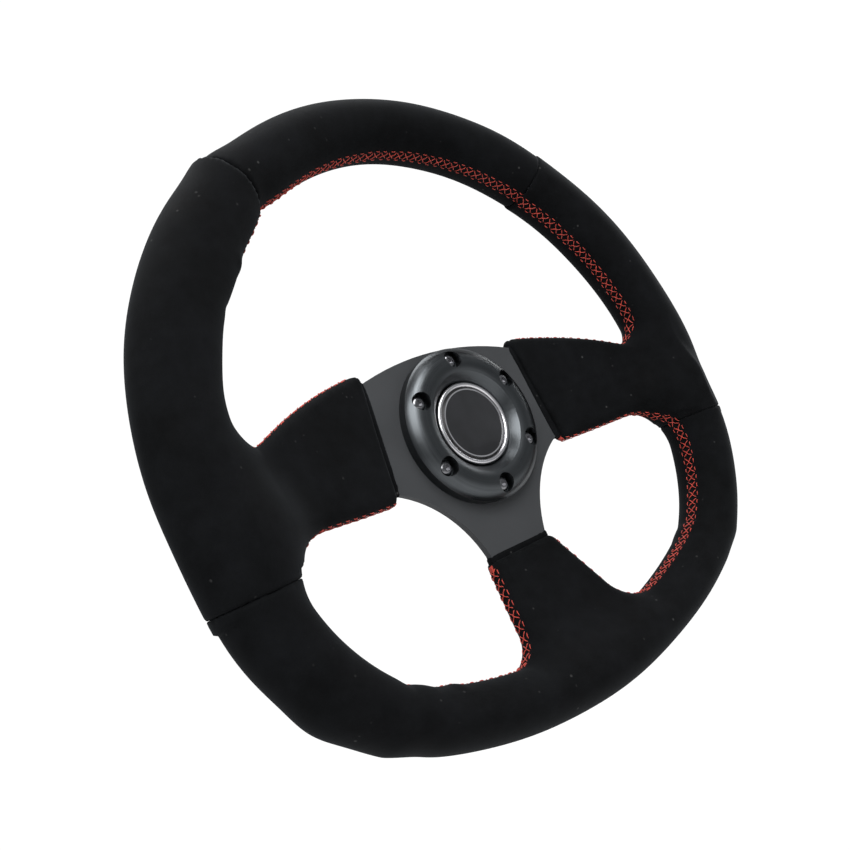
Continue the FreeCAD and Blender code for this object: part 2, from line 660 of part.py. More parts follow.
def bezel_screw():
    """Button-head cap screw with a hexagon socket."""
    seat = front_of_plate(COUNTERBORE_FLOOR)
    top = seat - SCREW_HEAD_HEIGHT
    rim = seat - SCREW_RIM
    face = SCREW_HEAD_RADIUS * SCREW_FACE_SHARE
    middle = point(SCREW_HEAD_RADIUS * SCREW_DOME_SHARES[0],
                   seat - SCREW_HEAD_HEIGHT * SCREW_DOME_SHARES[1], 0)
    edges = [
        Part.LineSegment(point(0, top, 0), point(face, top, 0)),
        Part.Arc(point(face, top, 0), middle, point(SCREW_HEAD_RADIUS, rim, 0)),
        Part.LineSegment(point(SCREW_HEAD_RADIUS, rim, 0), point(SCREW_HEAD_RADIUS, seat, 0)),
        Part.LineSegment(point(SCREW_HEAD_RADIUS, seat, 0), point(0, seat, 0)),
        Part.LineSegment(point(0, seat, 0), point(0, top, 0)),
    ]
    head = lathe([e.toShape() for e in edges])
    shank = disc(THREAD_RADIUS - THREAD_GAP, seat, PLATE_FRONT + SCREW_REACH)
    corner = HEX_SOCKET / math.sqrt(3)
    angles = [math.radians(60 * i) for i in range(6)]
    hexagon = prism([(corner * math.cos(a), corner * math.sin(a)) for a in angles],
                    top - OVERCUT, top + SCREW_HEAD_HEIGHT * SOCKET_SHARE)
    return head.fuse(shank).cut(hexagon)


def bezel_screws():
    screw = bezel_screw()
    screw.translate(Vector(0, 0, BOLT_RADIUS))
    return Part.makeCompound(around(screw, BOLT_COUNT))


# ---- Horn button -----------------------------------------------------------
def horn_housing():
    """Moulded cup: a clamped flange, a wide well and a narrower neck behind the plate."""
    step = PLATE_THICKNESS
    neck = HOUSING_NECK_RADIUS
    well = BEZEL_BORE
    inside = neck - HOUSING_FLOOR
    floor = step - HOUSING_FLOOR
    outline = [
        (HOUSING_FLANGE_RADIUS, -HOUSING_FLANGE), (HOUSING_FLANGE_RADIUS, 0),
        (HOUSING_RADIUS, 0), (HOUSING_RADIUS, step), (neck, step),
        (neck, HOUSING_DEPTH), (STEM_RADIUS + RUNNING, HOUSING_DEPTH),
        (STEM_RADIUS + RUNNING, BASE_TOP), (inside, BASE_TOP), (inside, floor),
        (well, floor), (well, -HOUSING_FLANGE),
    ]
    cup = lathe_points([(r, PLATE_FRONT + y) for r, y in outline])
    posts = [
        disc(TERMINAL_RADIUS, PLATE_FRONT + BASE_TOP - OVERCUT,
             PLATE_FRONT + HOUSING_DEPTH + OVERCUT, x=x)
        for x in (-TERMINAL_OFFSET, TERMINAL_OFFSET)
    ]
    return cup.cut(posts)


def horn_button_cap():
    """Black moulded button with a stem that guides it in the housing."""
    groove = PLATE_FRONT + HOUSING_DEPTH + AXIAL
    groove_end = groove + SNAP_RING
    outline = [
        (0, front_of_plate(CAP_SEAT)), (TRIM_BORE, front_of_plate(CAP_SEAT)),
        (TRIM_BORE, front_of_plate(CAP_FLANGE_TOP)),
        (BUTTON_RADIUS, front_of_plate(CAP_FLANGE_TOP)),
        (BUTTON_RADIUS, front_of_plate(-CAP_BACK)), (STEM_RADIUS, front_of_plate(-CAP_BACK)),
        (STEM_RADIUS, groove), (STEM_CORE, groove),
        (STEM_CORE, groove_end), (STEM_RADIUS, groove_end),
        (STEM_RADIUS, groove_end + STEM_TAIL), (0, groove_end + STEM_TAIL),
    ]
    return lathe_points(outline)


def horn_trim_ring():
    """Bright ring with a rounded face, pressed over the cap."""
    base = front_of_plate(CAP_FLANGE_TOP)
    shoulder = front_of_plate(BUTTON_FACE - TRIM_ROUND)
    face = front_of_plate(BUTTON_FACE)
    middle = (TRIM_BORE + BUTTON_RADIUS) / 2
    edges = [
        Part.LineSegment(point(TRIM_BORE, base, 0), point(BUTTON_RADIUS, base, 0)),
        Part.LineSegment(point(BUTTON_RADIUS, base, 0), point(BUTTON_RADIUS, shoulder, 0)),
        Part.Arc(point(BUTTON_RADIUS, shoulder, 0), point(middle, face, 0),
                 point(TRIM_BORE, shoulder, 0)),
        Part.LineSegment(point(TRIM_BORE, shoulder, 0), point(TRIM_BORE, base, 0)),
    ]
    return lathe([e.toShape() for e in edges])


def emblem_ring():
    """Thin bright ring around the emblem."""
    return ring(EMBLEM_RADIUS + EMBLEM_RING_WIDTH, EMBLEM_RADIUS,
                front_of_plate(BUTTON_FACE - EMBLEM_RING_DROP), front_of_plate(CAP_SEAT))


def emblem():
    """Plain domed disc."""
    base = front_of_plate(CAP_SEAT)
    edge = front_of_plate(BUTTON_FACE - EMBLEM_DROP)
    rise = EMBLEM_DOME
    dome = (EMBLEM_RADIUS**2 + rise**2) / (2 * rise)
    half_angle = math.asin(EMBLEM_RADIUS / dome) / 2
    middle = point(dome * math.sin(half_angle),
                   edge - rise + dome * (1 - math.cos(half_angle)), 0)
    top = point(0, edge - rise, 0)
    edges = [
        Part.LineSegment(point(0, base, 0), point(EMBLEM_RADIUS, base, 0)),
        Part.LineSegment(point(EMBLEM_RADIUS, base, 0), point(EMBLEM_RADIUS, edge, 0)),
        Part.Arc(point(EMBLEM_RADIUS, edge, 0), middle, top),
        Part.LineSegment(top, point(0, base, 0)),
    ]
    return lathe([e.toShape() for e in edges])


def contact_plate():
    """Brass washer under the cap that bridges the two terminals."""
    front = front_of_plate(-CAP_BACK)
    return ring(TERMINAL_OFFSET + CONTACT_MARGIN, STEM_RADIUS, front, front + CONTACT_PLATE)


def snap_ring():
    """Split ring in the stem's groove, which keeps the button in its housing."""
    front = PLATE_FRONT + HOUSING_DEPTH + AXIAL
    outer = STEM_CORE + SNAP_RING_WIDTH
    body = ring(outer, STEM_CORE, front, front + SNAP_RING)
    return split(body, 0, outer + OVERCUT, 2 * STEM_CORE, front, front + SNAP_RING)


def terminal(side):
    """Contact post through the housing's base, with a spade blade behind it."""
    x = side * TERMINAL_OFFSET
    head = PLATE_FRONT + CAP_BACK + CONTACT_PLATE + BUTTON_TRAVEL + RUNNING
    base = PLATE_FRONT + HOUSING_DEPTH
    post = disc(TERMINAL_RADIUS, head, base, x=x)
    corner = point(x - BLADE_THICKNESS / 2, base, -BLADE_WIDTH / 2)
    return post.fuse(Part.makeBox(BLADE_THICKNESS, BLADE_LENGTH, BLADE_WIDTH, corner))


def coil_spring(mean_radius, wire, front, back, turns):
    """A helical compression spring along the hub axis."""
    length = back - front - 2 * wire
    helix = Part.makeHelix(length / turns, length, mean_radius)
    profile = Part.Wire(Part.makeCircle(wire, Vector(mean_radius, 0, 0), Vector(0, 1, 0)))
    coil = Part.Wire(helix).makePipeShell([profile], True, True)
    coil.rotate(Vector(0, 0, 0), Vector(1, 0, 0), -90)
    coil.translate(Vector(0, front + wire, 0))
    return coil


def horn_spring():
    front = PLATE_FRONT + CAP_BACK + CONTACT_PLATE
    return coil_spring(STEM_RADIUS + HORN_WIRE + SPRING_GAP, HORN_WIRE,
                       front + RUNNING, PLATE_FRONT + BASE_TOP - RUNNING, HORN_TURNS)


# ---- Quick-release hub -----------------------------------------------------
def hub_sleeve():
    """Flange and sleeve in one piece, bored for the horn housing and the column hub."""
    recess = HOUSING_NECK_RADIUS + NECK_GAP
    recess_end = PLATE_FRONT + HOUSING_DEPTH + RECESS_SPACE
    web_end = recess_end + HUB_WEB
    web_hole = TERMINAL_OFFSET + HUB_WEB_MARGIN
    groove_front = -CIRCLIP_PLANE
    groove_back = groove_front + CIRCLIP
    outline = [
        (HUB_FLANGE_RADIUS, PLATE_BACK), (HUB_FLANGE_RADIUS, PLATE_BACK + HUB_FLANGE),
        (SLEEVE_RADIUS, PLATE_BACK + HUB_FLANGE),
        (SLEEVE_RADIUS, groove_front), (CIRCLIP_BED, groove_front),
        (CIRCLIP_BED, groove_back), (SLEEVE_RADIUS, groove_back),
        (SLEEVE_RADIUS, 0), (PILOT_RADIUS, 0), (PILOT_RADIUS, -PILOT_LENGTH),
        (RELIEF_RADIUS, -PILOT_LENGTH), (RELIEF_RADIUS, web_end),
        (web_hole, web_end), (web_hole, recess_end),
        (recess, recess_end), (recess, PLATE_BACK),
    ]
    body = lathe_points(outline)
    threads = bolt_holes(THREAD_RADIUS, PLATE_BACK - OVERCUT, PLATE_BACK + HUB_FLANGE + OVERCUT)
    lip = ball_hole(BALL_RADIUS - BALL_LIP_STEP, RELIEF_RADIUS - OVERCUT)
    pocket = ball_hole(BALL_RADIUS + RUNNING, RELIEF_RADIUS + BALL_LIP)
    body = body.cut(threads + around(lip, BALL_COUNT) + around(pocket, BALL_COUNT))
    return body.fuse(around(spline(web_end), SPLINE_COUNT)).removeSplitter()


def ball_hole(radius, start):
    """A radial hole for a lock ball, from this distance off the axis out of the sleeve."""
    return Part.makeCylinder(radius, SLEEVE_RADIUS + OVERCUT - start,
                             point(0, -BALL_PLANE, start), Vector(0, 0, 1))


def spline(front):
    """One drive tooth inside the bore."""
    half = SPLINE_WIDTH / 2
    inner = RELIEF_RADIUS - SPLINE_HEIGHT
    outer = RELIEF_RADIUS + OVERCUT
    box = prism([(-half, inner), (half, inner), (half, outer), (-half, outer)],
                front, front + SPLINE_LENGTH)
    return box.common(disc(RELIEF_RADIUS + OVERCUT / 2, front, front + SPLINE_LENGTH))


def ramp_radius(y):
    """Inner radius of the collar's ramp, which stays a running gap off the balls."""
    gap = (BALL_RADIUS + RUNNING) * math.sqrt(1 + RAMP_SLOPE**2)
    return BALL_CENTRE + gap + RAMP_SLOPE * (y + BALL_PLANE)


def collar_places():
    """Y of the collar's front end, ramp start, ramp end, pocket end and rear end."""
    slide = SLEEVE_RADIUS + RUNNING
    ramp_start = -BALL_PLANE - (ramp_radius(-BALL_PLANE) - slide) / RAMP_SLOPE
    ramp_end = -BALL_PLANE + COLLAR_TRAVEL + RAMP_RUN
    rear = -CIRCLIP_PLANE - AXIAL
    return ramp_start - COLLAR_FRONT_WALL, ramp_start, ramp_end, rear - COLLAR_REAR_WALL, rear


def release_collar():
    """Sliding collar: a ramp holds the balls in, and a pocket lets them out."""
    slide = SLEEVE_RADIUS + RUNNING
    front, ramp_start, ramp_end, pocket_end, rear = collar_places()
    deep = ramp_radius(ramp_end)
    grip_back = front + COLLAR_GRIP_WIDTH
    chamfer = COLLAR_CHAMFER
    outline = [
        (slide, front), (COLLAR_GRIP_RADIUS - chamfer, front),
        (COLLAR_GRIP_RADIUS, front + chamfer), (COLLAR_GRIP_RADIUS, grip_back - chamfer),
        (COLLAR_GRIP_RADIUS - chamfer, grip_back), (COLLAR_RADIUS, grip_back),
        (COLLAR_RADIUS, rear - chamfer), (COLLAR_RADIUS - chamfer, rear),
        (slide, rear), (slide, pocket_end), (deep, pocket_end), (deep, ramp_end),
        (slide, ramp_start),
    ]
    body = lathe_points(outline)
    notch = disc(COLLAR_NOTCH, front - OVERCUT, grip_back + OVERCUT / 2,
                 x=COLLAR_GRIP_RADIUS + COLLAR_NOTCH_SET)
    return body.cut(around(notch, COLLAR_NOTCHES))


def collar_circlip():
    """Split spring ring that stops the collar at the rear."""
    front = -CIRCLIP_PLANE
    outer = SLEEVE_RADIUS + CIRCLIP_HEIGHT
    body = ring(outer, CIRCLIP_BED, front, front + CIRCLIP)
    return split(body, CIRCLIP_BED - OVERCUT, outer + OVERCUT, CIRCLIP_GAP, front, front + CIRCLIP)


def collar_spring():
    front = collar_places()[0]
    mean = SLEEVE_RADIUS + COLLAR_WIRE + SPRING_GAP
    return coil_spring(mean, COLLAR_WIRE, PLATE_BACK + HUB_FLANGE + RUNNING,
                       front - RUNNING, COLLAR_TURNS)


def lock_ball(index):
    ball = Part.makeSphere(BALL_RADIUS, point(0, -BALL_PLANE, BALL_CENTRE))
    return turned(ball, 360.0 * index / BALL_COUNT)


# ---- Build -----------------------------------------------------------------
hoop = rim_hoop()
frame = spoke_frame(hoop)
foam = foam_padding(frame, hoop)
save(hoop, "rim_hoop")
save(frame, "spoke_frame")
save(foam, "foam_padding")

save(top_tube(0).cut(top_tube(SUEDE)), "cover_top")
for name, side in (("left", -1), ("right", 1)):
    save(side_solid(side, 0).cut([side_solid(side, SUEDE), frame]), "cover_" + name)
save(bottom_solid(0).cut([bottom_solid(SUEDE), frame]), "cover_bottom")

for name in ("left", "right", "bottom"):
    save(hem(name), "hem_" + name)
save(stitching(foam), "edge_stitching")

save(horn_bezel(), "horn_bezel")
save(bezel_screws(), "bezel_screws")
save(horn_housing(), "horn_housing")
save(horn_button_cap(), "horn_button_cap")
save(horn_trim_ring(), "horn_trim_ring")
save(emblem_ring(), "emblem_ring")
save(emblem(), "horn_emblem")
save(contact_plate(), "horn_contact_plate")
save(snap_ring(), "horn_snap_ring")
save(horn_spring(), "horn_spring")
save(terminal(-1), "horn_terminal_left")
save(terminal(1), "horn_terminal_right")

save(hub_sleeve(), "hub_sleeve")
save(release_collar(), "release_collar")
save(collar_circlip(), "collar_circlip")
save(collar_spring(), "collar_spring")
for index in range(BALL_COUNT):
    save(lock_ball(index), "lock_ball_" + str(index + 1))
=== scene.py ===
import json
import math

import bmesh
import bpy
import numpy as np
from mathutils import Matrix, Vector


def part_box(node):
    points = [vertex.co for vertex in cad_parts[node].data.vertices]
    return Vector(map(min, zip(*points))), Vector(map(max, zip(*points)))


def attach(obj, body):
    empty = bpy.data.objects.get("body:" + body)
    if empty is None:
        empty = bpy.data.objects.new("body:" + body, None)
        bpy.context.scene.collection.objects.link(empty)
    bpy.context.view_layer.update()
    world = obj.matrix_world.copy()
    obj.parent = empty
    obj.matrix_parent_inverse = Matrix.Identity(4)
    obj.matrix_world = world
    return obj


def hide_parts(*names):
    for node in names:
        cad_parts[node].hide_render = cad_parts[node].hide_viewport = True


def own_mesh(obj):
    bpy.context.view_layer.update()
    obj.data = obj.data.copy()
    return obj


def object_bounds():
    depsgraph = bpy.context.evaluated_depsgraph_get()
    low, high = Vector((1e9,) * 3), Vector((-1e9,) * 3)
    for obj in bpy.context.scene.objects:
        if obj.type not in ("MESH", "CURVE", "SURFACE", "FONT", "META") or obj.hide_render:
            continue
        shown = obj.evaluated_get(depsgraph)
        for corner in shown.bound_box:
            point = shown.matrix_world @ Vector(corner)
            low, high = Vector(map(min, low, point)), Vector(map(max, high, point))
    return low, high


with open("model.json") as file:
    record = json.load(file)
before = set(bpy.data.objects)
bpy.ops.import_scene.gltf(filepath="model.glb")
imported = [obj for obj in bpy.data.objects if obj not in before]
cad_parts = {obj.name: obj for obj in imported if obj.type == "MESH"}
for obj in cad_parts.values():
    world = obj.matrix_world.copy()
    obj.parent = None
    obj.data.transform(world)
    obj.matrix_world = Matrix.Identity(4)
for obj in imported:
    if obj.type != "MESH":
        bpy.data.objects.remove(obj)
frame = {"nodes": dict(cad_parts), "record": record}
cad_low, cad_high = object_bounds()

MM = 0.001
WHEEL = "wheel"


# ---- Places read from the frame ----------------------------------------------
hoop_low, hoop_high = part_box("rim_hoop")
HOOP = (hoop_high.y - hoop_low.y) / 2
RIM_PLANE = (hoop_high.y + hoop_low.y) / 2
RING = hoop_high.x - HOOP                       # centre line of the round part
RISE = hoop_high.z - HOOP - RING                # its centre above the hub's axis
FLAT_BOTTOM = hoop_low.z + HOOP
PLATE_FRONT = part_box("horn_bezel")[1].y
PLATE_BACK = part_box("hub_sleeve")[0].y
PLATE_MIDDLE = (PLATE_FRONT + PLATE_BACK) / 2
PAD_OVER_HEM = 5.0 * MM                         # the padding swells over the hem bands
SIDE_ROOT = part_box("hem_right")[1].x - PAD_OVER_HEM     # where the side padding begins
BOTTOM_ROOT = -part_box("hem_bottom")[0].z - PAD_OVER_HEM # and the bottom padding, downwards

# ---- Rim and padding, as the padding's maker would give them -------------------
FLAT_ARC = 262.0 * MM       # centre line of the nearly flat bottom
CORNER = 44.0 * MM          # centre line of the lower corners
FLAT_CENTRE = FLAT_BOTTOM + FLAT_ARC
UPPER_SEAM = 38.0           # turns of the rim where the suede panels meet, degrees
LOWER_SEAM = 107.0
LOWER_SEAM_LEAN = 15.0      # a lower seam crosses the rim turned by this from straight
HALF_DEPTH = 17.5 * MM      # half depth of the padded rim, all the way round
# Half width of the padded rim in millimetres, by its turn from the top in degrees.
TOP_WIDTHS = ((0, 15.5), (37, 16))
SIDE_WIDTHS = ((38, 18), (60, 18.5), (82, 19), (105, 18.5))
LOW_WIDTHS = ((107, 17), (133, 14.5), (158, 13.5), (180, 13))
# How far the padding's middle lies outside the hoop, by turn.
OUTSETS = ((0, 2), (36, 1.5), (62, 1.5), (92, 0), (120, 6.5), (150, 2), (180, 1.5))

SIDE_PAD_TOP = 41.0 * MM    # upper edge of a side spoke's padding at its root
SIDE_PAD_DROP = (11.0 * MM, 7.0 * MM)   # straight and curved parts of its fall
SIDE_PAD_RUN = 54.0 * MM    # over this distance towards the rim
SIDE_PAD_END = 1.3          # it stops falling after this many such distances
SIDE_PAD_BOTTOM = -25.5 * MM
BOTTOM_PAD_HALF = 23.0 * MM
BOTTOM_PAD_FLARE = 0.25     # half width gained per distance towards the rim
BOTTOM_PAD_RUN = 50.0 * MM  # over this distance
PAD_ROOT_DEPTH = 5.0 * MM   # half thickness of the padding at its root
PAD_TIP_DEPTH = 9.5 * MM
PAD_STOP = 17.5 * MM        # it ends this far inside the rim's middle
PAD_EDGE = 6.0 * MM         # rounding of the padding's edges
PAD_EDGE_GAIN = 3.0 * MM    # and how much it grows towards the rim
PAD_EDGE_LIMIT = 0.92       # at most this share of the half thickness
PAD_NOSE = 2.6 * MM         # rounding of its root end
ROOT_LEAN = 0.13            # a side spoke's root edge leans out towards the bottom
UPPER_FILLET = 15.0 * MM    # the padding flows into the rim with these radii
LOWER_FILLET = 30.0 * MM
BOTTOM_FILLET = 16.0 * MM
SEAM_SWAY = 1.3 * MM        # the stitched line wanders this far from the rim's middle
SEAM_SETBACK = 5.0 * MM     # and lies this much nearer the back at the left and bottom
SETBACK_START = 0.45        # where that comes in, as a share of the rim's radius
SETBACK_RUN = 0.35          # and over how much of it
SEAM_EASE = 16.0 * MM       # it eases over this distance to each spoke's middle
GROOVE_HALF = 0.9 * MM      # the seam's groove
GROOVE_DEPTH = 0.55 * MM
GROOVE_FADE = 8.0 * MM      # it fades towards the rim's middle over this distance
FILLET_CHANGE = 30.0 * MM   # height over which the upper fillet turns into the lower one
PUCKER_RADIUS = 3.2 * MM
PUCKER_HEIGHT = 0.7 * MM
UNEVEN_HEIGHT = 0.11 * MM   # of each slow wave in the hand-fitted suede
# Those waves: their steepness along x and z in radians per metre, and their phase.
UNEVEN_WAVES = ((61, 23, 0.4), (37, -51, 1.9), (-83, 44, 3.1), (19, 97, 4.6))
UNEVEN_DEPTH = 55           # the same along y, for all of them
# Small puckers where the suede was pulled round the inside of the rim: x, z in mm.
PUCKERS = ((-108, 92), (-119, 73), (77, 116), (-108, -92), (-86, -104), (117, 76), (30, 138))
# Hand-fitted foam swells or dips over a wider place: x, z, height, radius in mm.
SWELLS = (
    (-150, -95, 2.2, 13), (-120, -120, -1.2, 14), (-105, 82, 2.0, 14), (-136, 34, -1.4, 16),
    (158, -104, 1.6, 14), (173, -20, -1.4, 18), (-107, 147, 2.0, 12), (-84, 118, -2.4, 10))

NET_CELL = 1.5 * MM
SUEDE = 1.2 * MM            # suede thickness
SEAM_ROLL = 0.9 * MM        # the suede rolls inwards at a seam with this radius
SEAM_GAP = 0.06 * MM
SEAM_REACH = 32.0 * MM      # a lower seam runs this far inside the rim's middle
SIDE_PANEL_END = 30.0 * MM  # and a side panel ends this far above the bottom spoke's root
TUCK = 3.0 * MM             # and is turned in by this much
FOAM_GAP = 0.6 * MM         # between the suede and the foam


def corner_centre():
    """Where a lower corner's arc meets both the round part and the flat bottom."""
    to_ring = RING - CORNER
    to_flat = FLAT_ARC - CORNER
    squares = to_ring**2 - to_flat**2 + FLAT_CENTRE**2 - RISE**2
    z = squares / (2 * (FLAT_CENTRE - RISE))
    return math.sqrt(to_ring**2 - (z - RISE) ** 2), z


CORNER_X, CORNER_Z = corner_centre()
CORNER_START = 90 + math.degrees(math.atan2(RISE - CORNER_Z, CORNER_X))
CORNER_END = 90 + math.degrees(math.atan2(FLAT_CENTRE - CORNER_Z, CORNER_X))


# ---- Shape of the padded rim, as a distance field ------------------------------
def eased(share):
    """A smooth step from 0 to 1."""
    return (1 - np.cos(np.pi * np.clip(share, 0, 1))) / 2


def rim_place(x, z):
    """How far the rim has turned from the top, in degrees, and the distance outside
    its centre line."""
    across = np.abs(x)
    round_out = np.hypot(across, z - RISE) - RING
    flat_out = np.hypot(across, z - FLAT_CENTRE) - FLAT_ARC
    corner_out = np.hypot(across - CORNER_X, z - CORNER_Z) - CORNER
    round_turn = np.degrees(np.arctan2(across, z - RISE))
    flat_turn = np.degrees(np.arctan2(across, z - FLAT_CENTRE))
    corner_turn = np.degrees(np.arctan2(across - CORNER_X, z - CORNER_Z))
    on_corner = (corner_turn >= CORNER_START) & (corner_turn <= CORNER_END)
    on_round = round_out >= flat_out
    turn = np.where(on_corner, corner_turn, np.where(on_round, round_turn, flat_turn))
    out = np.where(on_corner, corner_out, np.where(on_round, round_out, flat_out))
    return turn, out


def through(stations, turn):
    """A smooth curve through (turn, value) stations."""
    value = stations[0][1] + np.zeros_like(turn)
    for (start, before), (end, after) in zip(stations, stations[1:]):
        value = value + (after - before) * eased((turn - start) / (end - start))
    return value


def rim_width(turn):
    """Half width of the padded rim."""
    low = np.where(turn < LOWER_SEAM, through(SIDE_WIDTHS, turn), through(LOW_WIDTHS, turn))
    return np.where(turn < UPPER_SEAM, through(TOP_WIDTHS, turn), low) * MM


def rim_field(x, y, z):
    """Distance outside the rim's oval section."""
    turn, out = rim_place(x, z)
    width = rim_width(turn)
    out = out - through(OUTSETS, turn) * MM
    near = np.hypot(out / width, (y - RIM_PLANE) / HALF_DEPTH)
    slope = np.hypot(out / width**2, (y - RIM_PLANE) / HALF_DEPTH**2)
    return near * (near - 1) / np.maximum(slope, 1e-6)


def side_pad(x, z):
    """A side spoke's padding: share of the way to the rim, middle and half height."""
    reach = np.abs(x) - SIDE_ROOT
    share = np.clip(reach / (RING - SIDE_ROOT), 0, 1)
    along = np.clip(reach / SIDE_PAD_RUN, 0, SIDE_PAD_END)
    top = SIDE_PAD_TOP - SIDE_PAD_DROP[0] * along - SIDE_PAD_DROP[1] * along**2
    return share, (top + SIDE_PAD_BOTTOM) / 2, (top - SIDE_PAD_BOTTOM) / 2


def bottom_pad(z):
    """The bottom spoke's padding: share of the way to the rim and half width."""
    reach = -z - BOTTOM_ROOT
    share = np.clip(reach / (-FLAT_BOTTOM - BOTTOM_ROOT), 0, 1)
    return share, BOTTOM_PAD_HALF + BOTTOM_PAD_FLARE * np.clip(reach, 0, BOTTOM_PAD_RUN)


def pad_middle(share):
    """Y of a spoke padding's middle, from the plate to the rim."""
    return PLATE_MIDDLE + (RIM_PLANE - PLATE_MIDDLE) * share


def pad_section(across, half, y, share):
    """Distance outside a rounded slab that thickens towards the rim."""
    deep = PAD_ROOT_DEPTH + (PAD_TIP_DEPTH - PAD_ROOT_DEPTH) * share
    edge = np.minimum(PAD_EDGE + PAD_EDGE_GAIN * share, deep * PAD_EDGE_LIMIT)
    side = np.abs(across) - (half - edge)
    face = np.abs(y - pad_middle(share)) - (deep - edge)
    outside = np.hypot(np.maximum(side, 0), np.maximum(face, 0))
    return outside + np.minimum(np.maximum(side, face), 0) - edge


def rounded_max(a, b, radius):
    """Both limits at once, with a rounded edge between them."""
    return np.minimum(-radius, np.maximum(a, b)) + np.hypot(
        np.maximum(a + radius, 0), np.maximum(b + radius, 0))


def filleted_min(a, b, radius):
    """Either solid, with a fillet of this radius between them."""
    return np.maximum(radius, np.minimum(a, b)) - np.hypot(
        np.maximum(radius - a, 0), np.maximum(radius - b, 0))


def side_field(x, y, z):
    """Distance outside the two side spokes' padding."""
    share, middle, half = side_pad(x, z)
    slab = pad_section(z - middle, half, y, share)
    slab = rounded_max(slab, SIDE_ROOT - ROOT_LEAN * z - np.abs(x), PAD_NOSE)
    return np.maximum(slab, np.hypot(x, z - RISE) - (RING - PAD_STOP))


def bottom_field(x, y, z):
    """Distance outside the bottom spoke's padding."""
    share, half = bottom_pad(z)
    slab = pad_section(x, half, y, share)
    slab = rounded_max(slab, BOTTOM_ROOT + z, PAD_NOSE)
    return np.maximum(slab, FLAT_BOTTOM + PAD_STOP - z)


def seam_line_height(x, z):
    """Y of the stitched line: the rim's middle, easing to each spoke's middle."""
    share, middle, half = side_pad(x, z)
    by_side = np.maximum(np.abs(z - middle) - half, SIDE_ROOT - np.abs(x))
    low_share, low_half = bottom_pad(z)
    by_bottom = np.maximum(np.abs(x) - low_half, BOTTOM_ROOT + z)
    side_pull = 1 - eased(by_side / SEAM_EASE)
    low_pull = 1 - eased(by_bottom / SEAM_EASE)
    height = RIM_PLANE - SEAM_SWAY * (x / RING + np.clip(z / RING, 0, 1))
    towards_low_left = np.maximum(-x, -z - x / 2) / RING
    height = height + SEAM_SETBACK * eased((towards_low_left - SETBACK_START) / SETBACK_RUN)
    height = height + (pad_middle(share) - height) * side_pull
    return height + (pad_middle(low_share) - height) * low_pull


def uneven(x, y, z):
    """Slow swells of hand-fitted suede over foam."""
    total = 0.0
    for along_x, along_z, phase in UNEVEN_WAVES:
        total = total + np.sin(along_x * x + along_z * z + UNEVEN_DEPTH * y + phase)
    return total * UNEVEN_HEIGHT


def puckers(x, y, z):
    """Height of the small puckers, alternately bumps and dimples."""
    total = 0.0
    for i, (px, pz) in enumerate(PUCKERS):
        away = np.hypot(x - px * MM, z - pz * MM) / PUCKER_RADIUS
        total = total + (-1) ** i * np.exp(-away**2)
    return total * PUCKER_HEIGHT


def swells(x, z):
    """Height of the wider swells and dips."""
    total = 0.0
    for sx, sz, height, radius in SWELLS:
        away = np.hypot(x - sx * MM, z - sz * MM) / (radius * MM)
        total = total + height * MM * np.exp(-away**2)
    return total


def padding_field(x, y, z):
    """The whole padded wheel: rim and three spokes in one flowing body."""
    body = rim_field(x, y, z)
    lower = eased((side_pad(x, z)[1] - z) / FILLET_CHANGE + 0.5)
    body = filleted_min(
        body, side_field(x, y, z), UPPER_FILLET + (LOWER_FILLET - UPPER_FILLET) * lower)
    body = filleted_min(body, bottom_field(x, y, z), BOTTOM_FILLET)
    out = rim_place(x, z)[1]
    near_seam = np.exp(-(((y - seam_line_height(x, z)) / GROOVE_HALF) ** 2))
    groove = GROOVE_DEPTH * near_seam * eased(-out / GROOVE_FADE)
    return body + groove + uneven(x, y, z) - puckers(x, y, z) - swells(x, z)


def seam_plane(x, z, turn, side):
    """Distance past the plane across the rim at a seam, positive towards the bottom."""
    angle = math.radians(turn)
    foot = (RING * math.sin(angle), RISE + RING * math.cos(angle))
    if turn == LOWER_SEAM:
        angle -= math.radians(LOWER_SEAM_LEAN)
    return (side * x - foot[0]) * math.cos(angle) - (z - foot[1]) * math.sin(angle)


def past_seam(x, z, turn):
    """Distance past the seam on the nearer side. A spoke lies before its rim's seam."""
    past = np.where(x >= 0, seam_plane(x, z, turn, 1), seam_plane(x, z, turn, -1))
    if turn == UPPER_SEAM:
        return past
    inner_side = np.maximum(rim_place(x, z)[1] + SEAM_REACH, SIDE_PANEL_END - BOTTOM_ROOT - z)
    return np.minimum(past, inner_side)


def panel_field(name):
    """The stretch of padding that one suede panel covers, with rolled ends."""
    def field(x, y, z):
        body = padding_field(x, y, z)
        upper = past_seam(x, z, UPPER_SEAM)
        lower = past_seam(x, z, LOWER_SEAM)
        if name == "top":
            ends = [upper]
        elif name == "bottom":
            ends = [-lower]
        else:
            side = 1 if name == "right" else -1
            ends = [-upper, lower, -side * x]
        for end in ends:
            body = rounded_max(body, end + SEAM_GAP / 2, SEAM_ROLL)
        return body
    return field


# ---- Meshes from fields --------------------------------------------------------
def slope_of(field, points, step=0.05 * MM):
    """Direction of steepest growth of a field at each point."""
    grown = []
    for axis in range(3):
        ahead, behind = points.copy(), points.copy()
        ahead[:, axis] += step
        behind[:, axis] -= step
        grown.append((field(*ahead.T) - field(*behind.T)) / (2 * step))
    return np.stack(grown, 1)


def onto_surface(field, points, rounds=4):
    """Moves points along the field's slope until they lie on its surface."""
    for _ in range(rounds):
        slope = slope_of(field, points)
        size = np.maximum((slope**2).sum(1), 0.25)
        move = slope * (field(*points.T) / size)[:, None]
        length = np.linalg.norm(move, axis=1, keepdims=True)
        points = points - move * np.minimum(1, NET_CELL / np.maximum(length, 1e-9))
    return points


